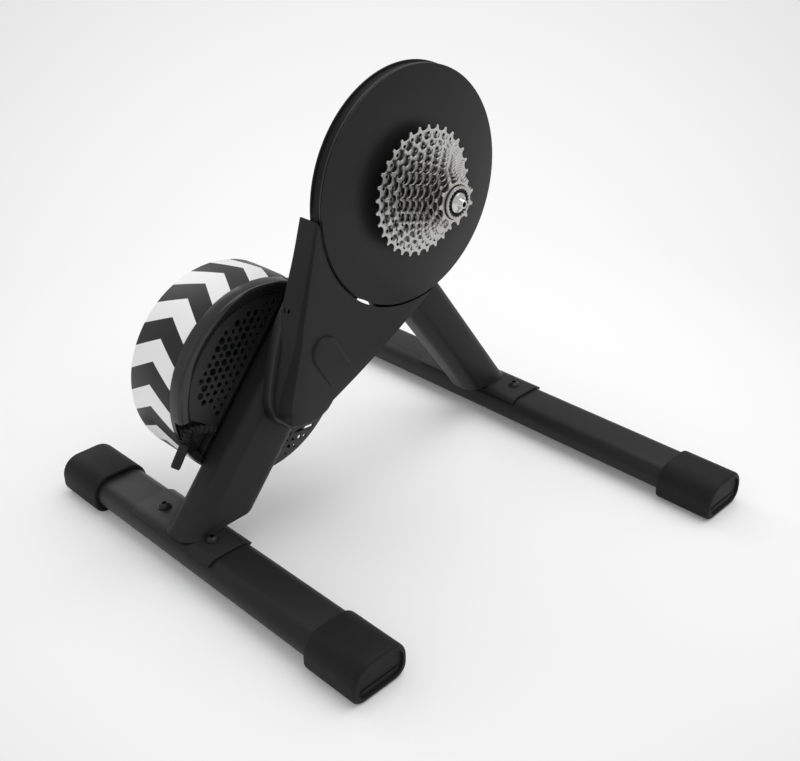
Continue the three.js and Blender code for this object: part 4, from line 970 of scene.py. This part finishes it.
class TRAINER_OT_wheel(bpy.types.Operator):
    """Makes the belt pulley and the disc that covers it"""
    bl_idname = "trainer.wheel"
    bl_label = "Wheel"

    def execute(self, context):
        edge = context.scene.trainer_wheel.disc_edge / MM
        flange, rebate, step = WHEEL_RADIUS - 0.9, WHEEL_RADIUS - 4, -21.3
        disc = turned([(20, DISC_FRONT), (flange, DISC_FRONT), (flange, step), (rebate, step),
                       (rebate, DISC_BACK), (20, DISC_BACK)], HUB, steps=180)
        soften(disc, edge)
        piece(disc, "wheel_disc", "drive_wheel", "frame_paint", "satin disc paint", "disc_cover")
        rim, inner, hub = 119.3, 112.6, 30
        pulley = turned([
            (17.3, -20.2), (hub, -20.2), (hub, -16.0), (inner, -16.0), (inner, -20.2), (flange, -20.2),
            (flange, -17.9), (rim, -17.9), (rim, -7.4), (WHEEL_RADIUS, -7.4), (WHEEL_RADIUS, -6.0),
            (inner, -6.0), (inner, -13.0), (hub, -13.0), (hub, -5.0), (14.3, -5.0), (14.3, -13.6),
            (17.3, -13.6),
        ], HUB, steps=144)
        soften(pulley, 0.3, segments=1)
        pulley = cut(pulley, *(rod(polar(HUB, 72, i * 60 + 30), 22, -19, -9, 40) for i in range(6)))
        piece(pulley, "belt_wheel", "drive_wheel", "black_aluminium", "black anodising", "drive_pulley")
        return {"FINISHED"}


def pitch_radius(teeth):
    return CHAIN_PITCH / 2 / math.sin(math.pi / teeth)


def cog_outline(teeth):
    """Wide shallow valleys between narrow, blunt teeth."""
    pitch, rise, half_tip = pitch_radius(teeth), 2.2, 1.25
    valley = ((-4.3, -0.6), (-3.3, -1.9), (-1.7, -2.5), (0, -2.7), (1.7, -2.5), (3.3, -1.9), (4.3, -0.6))
    points = []
    for i in range(teeth):
        middle = 360 * i / teeth
        for across, up in valley:
            points.append(polar(HUB, pitch + up, middle + math.degrees(across / pitch)))
        spread = math.degrees(half_tip / pitch)
        for angle in (middle + 180 / teeth - spread, middle + 180 / teeth + spread):
            points.append(polar(HUB, pitch + rise, angle))
    return points


def cog_holes(teeth):
    """A ring of small round holes, one under each tooth of a large sprocket."""
    ring, radius = pitch_radius(teeth) - 6.0, 1.9
    return [circle(polar(HUB, ring, 360 * (i + 0.5) / teeth), radius, 10) for i in range(teeth)]


class TRAINER_OT_sprockets(bpy.types.Operator):
    """Makes the eleven sprockets, the large ones with a ring of holes"""
    bl_idname = "trainer.sprockets"
    bl_label = "Sprockets"

    def execute(self, context):
        bore, fewest_with_holes = 17.7, 16
        for k, teeth in enumerate(TOOTH_COUNTS):
            y = BIG_COG_Y - COG_PITCH * k
            holes = [circle(HUB, bore, 48)] + (cog_holes(teeth) if teeth >= fewest_with_holes else [])
            cog = block(cog_outline(teeth), y - HALF_COG, y + HALF_COG, holes)
            soften(cog, 0.22, segments=1, angle=60)
            number = f"{len(TOOTH_COUNTS) - k:02d}"
            piece(cog, f"cog_{number}", "cassette", "nickel_steel", "nickel plated sprocket",
                  f"sprocket_{number}")
        return {"FINISHED"}


class TRAINER_OT_cassette_core(bpy.types.Operator):
    """Makes the splined sleeve's spacers and the lockring"""
    bl_idname = "trainer.cassette_core"
    bl_label = "Cassette core"

    def execute(self, context):
        piece(self.spacers(), "spacer_stack", "cassette", "red_spacer", "spacer anodising",
              "cassette_carrier")
        piece(self.lockring(), "cassette_lockring", "cassette", "nickel_steel", "notched ring steel with painted recess shade",
              "lockring")
        return {"FINISHED"}

    def spacers(self):
        """A thin sleeve, and a ring on it behind each sprocket but the first."""
        near, far = BIG_COG_Y - COG_PITCH * (len(TOOTH_COUNTS) - 1), BIG_COG_Y + HALF_COG
        parts = [turned([(16.7, near), (17.4, near), (17.4, far), (16.7, far)], HUB, 48)]
        for k, teeth in enumerate(TOOTH_COUNTS[1:]):
            far = BIG_COG_Y - COG_PITCH * k - 1.2
            near = far - 1.5
            outer = min(pitch_radius(teeth) - 4.56, 27.0)
            ring = turned([(17.2, near), (outer, near), (outer, far), (17.2, far)], HUB, 48)
            parts.append(soften(ring, 0.3, segments=1))
        return merged(parts)

    def lockring(self):
        """A notched flange on a short neck."""
        near, far = (corner[1] for corner in solid_box("lockring"))
        bore, neck = 9.95, near + 2.0
        flange = turned([(13.8, near), (16.8, near), (16.8, near + 2.6), (bore, near + 2.6), (bore, neck),
                         (13.4, neck)], HUB, 60)
        soften(flange, 0.25, angle=60)
        notches = merged([rod(polar(HUB, 14.1, i * 15), 0.8, near - 1, near + 1.9, 8) for i in range(24)])
        tube = turned([(bore, neck), (11.2, neck), (11.2, far), (bore, far)], HUB, 48)
        return merged([cut(flange, notches), tube])


class TRAINER_OT_axle_ends(bpy.types.Operator):
    """Makes the stepped caps in the axle's two ends, and the nuts of the hub and of the flywheel"""
    bl_idname = "trainer.axle_ends"
    bl_label = "Axle ends"

    def execute(self, context):
        for side, out in (("drive", -1), ("non_drive", 1)):
            cap = self.cap(f"{side}_end_cap", out)
            piece(cap, f"{side}_axle_cap", "frame", "nickel_steel", "bright cap steel", f"{side}_end_cap")
        piece(self.nut("axle_nut", HUB), "hub_lock_nut", "frame", "nickel_steel", "turned hub steel",
              "axle_nut")
        piece(self.nut("flywheel_nut", SHAFT), "flywheel_lock_nut", "flywheel", "nickel_steel",
              "turned hub steel", "flywheel_nut")
        return {"FINISHED"}

    def cap(self, node, out):
        """A bored nose on a shoulder that has a groove round it."""
        low, high = solid_box(node)
        tip, root = (low[1], high[1]) if out < 0 else (high[1], low[1])
        radius, bore = (high[0] - low[0]) / 2, 2.7
        waist = radius - 1.2
        face = tip - out * 5
        return turned([
            (bore, tip), (3.9, tip), (4.7, tip - out * 1.2), (4.95, tip - out * 2.6), (5.6, face + out * 0.6),
            (waist, face - out * 0.9), (radius, face - out * 2.0), (radius, face - out * 3.4),
            (waist, face - out * 3.8), (waist, face - out * 4.6), (radius, face - out * 5.0), (radius, root),
            (bore, root)], HUB, steps=48)

    def nut(self, node, centre):
        """A hexagon with its corners turned off on both faces."""
        low, high = solid_box(node)
        radius, bore = (high[0] - low[0]) / 2, 7.8
        middle, half = (low[1] + high[1]) / 2, (high[1] - low[1]) / 2
        hexagon = block(circle(centre, radius, 6), low[1], high[1], [circle(centre, bore, 48)])
        small, large = radius * 0.84, radius * 1.02
        cone = turned([
            (0, middle - half - 1), (small, middle - half - 1), (large, middle - half * 0.4),
            (large, middle + half * 0.4), (small, middle + half + 1), (0, middle + half + 1)], centre, 60)
        return combined(hexagon, cone, "INTERSECT")


# Flywheel

class TRAINER_OT_drum(bpy.types.Operator):
    """Makes the flywheel's drum with its painted band"""
    bl_idname = "trainer.drum"
    bl_label = "Flywheel drum"

    def execute(self, context):
        near, far = (corner[1] for corner in solid_box("flywheel_drum"))
        inner, outer, web, bore = DRUM_RADIUS - 11.8, DRUM_RADIUS, far - 2.2, 10.3
        drum = turned([
            (inner, near), (outer, near), (outer, far), (outer - 11, far), (outer - 12.5, web), (40, web),
            (38, far), (bore, far), (bore, far - 13.3), (26, far - 13.3), (26, far - 6), (inner, far - 6),
        ], SHAFT, steps=180)
        soften(drum, 1.4, segments=3, keep=lambda edge: all(
            (v.co - at(SHAFT, v.co.y / MM)).length > (outer - 0.1) * MM for v in edge.verts))
        piece(drum, "chevron_drum", "flywheel", "flywheel_band", "chevron paint", "flywheel_drum")
        return {"FINISHED"}


def wedge(inner, outer, start, end, near, far):
    """A sector of a ring round the flywheel's axis."""
    return block(arc(SHAFT, outer, start, end, 20) + arc(SHAFT, inner, end, start, 20), near, far)


def pocket():
    """The room in the cover where the ribbed boot comes out."""
    outline = [polar(SHAFT, 115, -176.4), polar(SHAFT, 96, -175.4), *arc(SHAFT, 78, -163, -146, 8),
               polar(SHAFT, 104, -146), polar(SHAFT, 104, -155), polar(SHAFT, 115, -155)]
    return block(outline, CUT_START, POCKET_BACK)


def leg_band(grow, near, far):
    """A straight block as wide as the rear leg, along it."""
    _, foot, lean, width, _ = LEGS[0]
    along = direction(lean)
    across = Vector((-along.y, along.x)) * (width / 2 + grow)
    start, end = Vector(foot) + along * 20, Vector(foot) + along * 420
    return block([start - across, end - across, end + across, start + across], near, far)


def vent_places():
    """Vent holes of mixed sizes on a close grid, clear of the leg and of the pocket."""
    least, most, leg_margin, pocket_start = 33, 88, 4.5, 71
    _, foot, lean, width, _ = LEGS[0]
    along = direction(lean)
    side = Vector((-along.y, along.x))
    sizes = random.Random(5)
    places = []
    for row in range(-12, 13):
        for column in range(-14, 15):
            spot = along * (column + 0.5 * (row % 2)) * 9.2 + side * row * 8.0
            place = Vector(SHAFT) + spot
            clear = abs((place - Vector(foot)).dot(side)) - width / 2
            turn = math.degrees(math.atan2(spot.y, spot.x)) % 360
            in_pocket = spot.length > pocket_start and 179 < turn < 220
            share_of_size = sizes.random()
            if least < spot.length < most and clear > leg_margin and not in_pocket:
                biggest = 4.1 if clear > 20 else 3.0
                places.append((place, biggest * (0.6 + 0.4 * share_of_size)))
    return places


class TRAINER_OT_cover(bpy.types.Operator):
    """Makes the flywheel's fixed cover, with its vents, leg channel and pocket"""
    bl_idname = "trainer.cover"
    bl_label = "Flywheel cover"

    def execute(self, context):
        piece(merged([self.shell(), self.channel(), self.tray()]), "vented_cover", "frame", "moulded_black",
              "glossy rimmed plastic", "flywheel_cover", sharp=30)
        return {"FINISHED"}

    def shell(self):
        """The turned dish, open for the leg, the pocket and the gap at its foot, and pierced."""
        face, back, wall = COVER_FRONT + 2.4, COVER_FRONT + 4.4, DRUM_RADIUS - 2.5
        dish = turned([
            (COVER_BORE, face), (96.6, face), (98.2, COVER_FRONT + 0.6), (99.4, COVER_FRONT),
            (106.8, COVER_FRONT), (108.2, COVER_FRONT + 0.5), (DRUM_RADIUS - 0.5, COVER_FRONT + 2.2),
            (DRUM_RADIUS, COVER_FRONT + 3.4), (DRUM_RADIUS, COVER_BACK), (wall, COVER_BACK), (wall, back),
            (COVER_BORE, back),
        ], SHAFT, steps=144)
        dish = cut(dish, leg_band(0.3, CUT_START, COVER_BACK - 0.1), pocket(),
                   wedge(95, 115, -95, -35, CUT_START, face),
                   wedge(104, 115, -69, -46, back + 1.2, COVER_BACK - 1.2))
        foot_holes = ((99.5, -64.1, 2.5), (94.7, -69, 1.8), (98.7, -73.9, 2.3), (104, -60.8, 1.9),
                      (103.6, -70, 1.8), (103.9, -77.9, 1.4), (90.4, -73.1, 1.2))
        places = vent_places() + [(polar(SHAFT, radius, angle), size) for radius, angle, size in foot_holes]
        near, far = face - 2, back + 2
        holes = merged([rod(place, size, near, far, 14) for place, size in places])
        slot = block([polar(SHAFT, 89.4, -66), polar(SHAFT, 105.4, -53.2), polar(SHAFT, 104, -51),
                      polar(SHAFT, 88, -63.2)], near, far)
        return cut(dish, holes, slot)

    def channel(self):
        """The trough that the rear leg lies in."""
        far = COVER_BACK - 2
        trough = leg_band(2.3, COVER_FRONT + 1.6, CHANNEL_FLOOR + 2.5)
        trough = combined(trough, rod(SHAFT, 109.2, CUT_START, far, 144), "INTERSECT")
        room_for_leg = leg_band(0.3, CUT_START, CHANNEL_FLOOR)
        return cut(trough, room_for_leg, rod(SHAFT, COVER_BORE, CUT_START, far, 48))

    def tray(self):
        """The pocket's walls and floor."""
        return cut(wedge(76.4, 109.2, -177.2, -144.8, COVER_FRONT + 2.9, COVER_BACK - 4.4), pocket())


def ribbed_path():
    """The boot's centre line, from inside the cover's pocket down past its rim."""
    inward = polar(SHAFT, 74.8, -157.5)
    root = Vector((inward[0], 58.05, inward[1]))
    bend = root + Vector((-29.2, -2.05, 9.4))
    end = bend + Vector((-9.9, -2.05, -10.6))
    return [Vector(p) for p in smooth_path([tuple(root), tuple(bend), tuple(end)], 66)]


def circle_round(centre, heading, radius, steps):
    """A circle's points square to a heading."""
    side = heading.cross(Vector((0, 1, 0))).normalized()
    up = side.cross(heading)
    return [(centre + (side * x + up * y) * radius) * MM for x, y in circle((0, 0), 1, steps)]


class TRAINER_OT_inlet(bpy.types.Operator):
    """Makes the ribbed boot and the power connector on its end"""
    bl_idname = "trainer.inlet"
    bl_label = "Power inlet"

    def execute(self, context):
        ribs, core, rib_height = 11, 3.2, 2.3
        path = ribbed_path()
        loops = []
        for i, spot in enumerate(path):
            heading = (path[min(i + 1, len(path) - 1)] - path[max(i - 1, 0)]).normalized()
            swell = max(0.0, math.sin(i * 2 * math.pi * ribs / len(path))) ** 0.5
            loops.append(circle_round(spot, heading, core + rib_height * swell, 20))
        piece(loft(loops), "ribbed_boot", "frame", "rubber_black", "satin housing plastic", "strain_relief",
              sharp=60)
        heading = (path[-1] - path[-2]).normalized()
        start = path[-1] + heading * 0.3
        barrel = ((0, 3.0), (0, 4.1), (0.8, 4.8), (2.2, 5.1), (22.6, 5.1), (24.4, 4.9), (25.4, 4.5),
                  (26.0, 3.7), (26.0, 2.4), (16.5, 2.3))
        loops = [circle_round(start + heading * along, heading, radius, 28) for along, radius in barrel]
        piece(loft(loops), "connector_barrel", "frame", "rubber_black", "black moulded plastic",
              "power_connector", sharp=40)
        return {"FINISHED"}


# What stays as the CAD has it

SLOT_FINISHES = {
    "frame_paint": "satin powder coat", "moulded_black": "black moulded plastic",
    "rubber_black": "black rubber", "black_bolt": "black oxide steel", "nickel_steel": "turned hub steel",
    "bare_steel": "turned hub steel", "black_aluminium": "black anodising", "red_spacer": "spacer anodising",
    "flywheel_band": "chevron paint", "copper_winding": "copper winding", "board_green": "printed board",
}
SHAFT_NODES = ("bearing_housing", "shaft_bearing_near", "shaft_bearing_far", "flywheel_shaft", "small_pulley",
               "brake_core")


class TRAINER_OT_dress_solids(bpy.types.Operator):
    """Gives every solid that still shows its finish"""
    bl_idname = "trainer.dress_solids"
    bl_label = "Dress the solids"

    def execute(self, context):
        slots = {row["node"]: row["material_slot"] for row in frame["record"]["subparts"]}
        for name, solid in frame["nodes"].items():
            chosen = "turned shaft steel" if name in SHAFT_NODES else SLOT_FINISHES[slots[name]]
            if not solid.material_slots:
                solid.data.materials.append(finishes[chosen].material)
            for place_in_list in solid.material_slots:
                place_in_list.material = finishes[chosen].material
        return {"FINISHED"}


# Studio

class TRAINER_OT_studio(bpy.types.Operator):
    """Sets the camera, the floor and the soft light"""
    bl_idname = "trainer.studio"
    bl_label = "Studio"

    def execute(self, context):
        scene = context.scene
        settings = scene.trainer_studio
        self.camera(scene)
        self.floor(settings)
        self.world(scene, settings)
        scene.view_settings.view_transform = "Standard"
        for name, spot, aim, size, power in (
                ("soft_box", (0.9, -0.5, 2.6), (0, 0.05, 0.2), 2.6, settings.key),
                ("side_panel", (-2.2, 0.4, 1.5), (-0.1, 0.1, 0.2), 1.6, settings.key * 0.05),
                ("back_panel", (0.3, 2.6, 1.6), (0, 0.1, 0.2), 1.8, settings.key * 0.35)):
            lamp = bpy.data.lights.new(name, "AREA")
            lamp.energy = power
            lamp.size = size
            made = bpy.data.objects.new(name, lamp)
            made.location = spot
            made.rotation_euler = (Vector(aim) - Vector(spot)).to_track_quat("-Z", "Y").to_euler()
            scene.collection.objects.link(made)
        return {"FINISHED"}

    def camera(self, scene):
        """Stands where the photograph's camera did, with its focal length in pixels."""
        picture_width, focal_length, sensor_width = 800.0, 1097.65, 36.0
        tilt_down, turn = 29.13, -45.54
        lens = bpy.data.cameras.new("photo_camera")
        lens.sensor_width = sensor_width
        lens.sensor_fit = "HORIZONTAL"
        lens.lens = focal_length * sensor_width / picture_width
        made = bpy.data.objects.new("photo_camera", lens)
        made.location = (-0.7405, -0.7580, 0.7289)
        made.rotation_euler = (math.radians(90 - tilt_down), 0.0, math.radians(turn))
        scene.collection.objects.link(made)
        scene.camera = made

    def floor(self, settings):
        """Paper that takes the object's shadow near it, and fades into the plain background."""
        reach, near_fade, far_fade, least_glow = 12.0, 0.38, 0.80, 0.1
        bm = bmesh.new()
        bmesh.ops.create_grid(bm, x_segments=2, y_segments=2, size=reach)
        mesh = bpy.data.meshes.new("studio_floor")
        bm.to_mesh(mesh)
        bm.free()
        made = bpy.data.objects.new("studio_floor", mesh)
        bpy.context.scene.collection.objects.link(made)
        paper = Finish("floor paper", [settings.floor_light] * 3, 0.9, specular=0.0)
        x, y, _ = paper.position.parts()
        fade = (x - 0.05).distance(y - 0.02).clamped(near_fade, far_fade) * (1 - least_glow) + least_glow
        rays = paper.position.node("ShaderNodeLightPath", output="Is Camera Ray")
        across, up, _ = paper.position.node("ShaderNodeTexCoord", output="Window").parts()
        across, up = across - 0.5, up - 0.5
        tone = settings.middle_light - (across * across + up * up) * settings.corner_fall
        glow = paper.position.node("ShaderNodeEmission", {"Strength": tone})
        lit = Signal(paper.tree, paper.shader.outputs[0])
        mix = paper.position.node("ShaderNodeMixShader", {0: rays * fade, 1: lit, 2: glow})
        paper.tree.links.new(mix.socket, paper.tree.nodes["Material Output"].inputs["Surface"])
        mesh.materials.append(paper.material)

    def world(self, scene, settings):
        """Even white light, shown at a brightness of its own to the camera."""
        world = bpy.data.worlds.new("studio_light")
        world.use_nodes = True
        background = world.node_tree.nodes["Background"]
        background.inputs["Color"].default_value = (1.0, 1.0, 1.0, 1.0)
        rays = Signal(world.node_tree).node("ShaderNodeLightPath", output="Is Camera Ray")
        seen = rays * (settings.sky_seen - settings.sky) + settings.sky
        world.node_tree.links.new(seen.socket, background.inputs["Strength"])
        scene.world = world


class TRAINER_PT_panel(bpy.types.Panel):
    """Lists the trainer's pieces and their settings"""
    bl_idname = "TRAINER_PT_panel"
    bl_label = "Bike trainer"
    bl_space_type = "VIEW_3D"
    bl_region_type = "UI"
    bl_category = "Trainer"

    def draw(self, context):
        for name, group in SETTINGS:
            box = self.layout.box()
            for key in group.__annotations__:
                box.prop(getattr(context.scene, name), key)
        for operator in OPERATORS:
            self.layout.operator(operator.bl_idname)


SETTINGS = (
    ("trainer_stand", StandSettings), ("trainer_housing", HousingSettings), ("trainer_wheel", WheelSettings),
    ("trainer_flywheel", FlywheelSettings), ("trainer_studio", StudioSettings),
)
OPERATORS = (
    TRAINER_OT_studio, TRAINER_OT_finishes, TRAINER_OT_feet, TRAINER_OT_foot_boots, TRAINER_OT_saddles,
    TRAINER_OT_saddle_bolts, TRAINER_OT_legs, TRAINER_OT_top_cap, TRAINER_OT_frame_plate, TRAINER_OT_housing,
    TRAINER_OT_side_screw, TRAINER_OT_wheel, TRAINER_OT_sprockets, TRAINER_OT_cassette_core,
    TRAINER_OT_axle_ends, TRAINER_OT_drum, TRAINER_OT_cover, TRAINER_OT_inlet, TRAINER_OT_dress_solids,
)


def register():
    for name, group in SETTINGS:
        bpy.utils.register_class(group)
        setattr(bpy.types.Scene, name, bpy.props.PointerProperty(type=group))
    for item in (*OPERATORS, TRAINER_PT_panel):
        bpy.utils.register_class(item)


def unregister():
    for item in (TRAINER_PT_panel, *reversed(OPERATORS)):
        bpy.utils.unregister_class(item)
    for name, group in reversed(SETTINGS):
        delattr(bpy.types.Scene, name)
        bpy.utils.unregister_class(group)


def main():
    register()
    for operator in OPERATORS:
        group, call = operator.bl_idname.split(".")
        getattr(getattr(bpy.ops, group), call)()


if __name__ == "__main__":
    main()
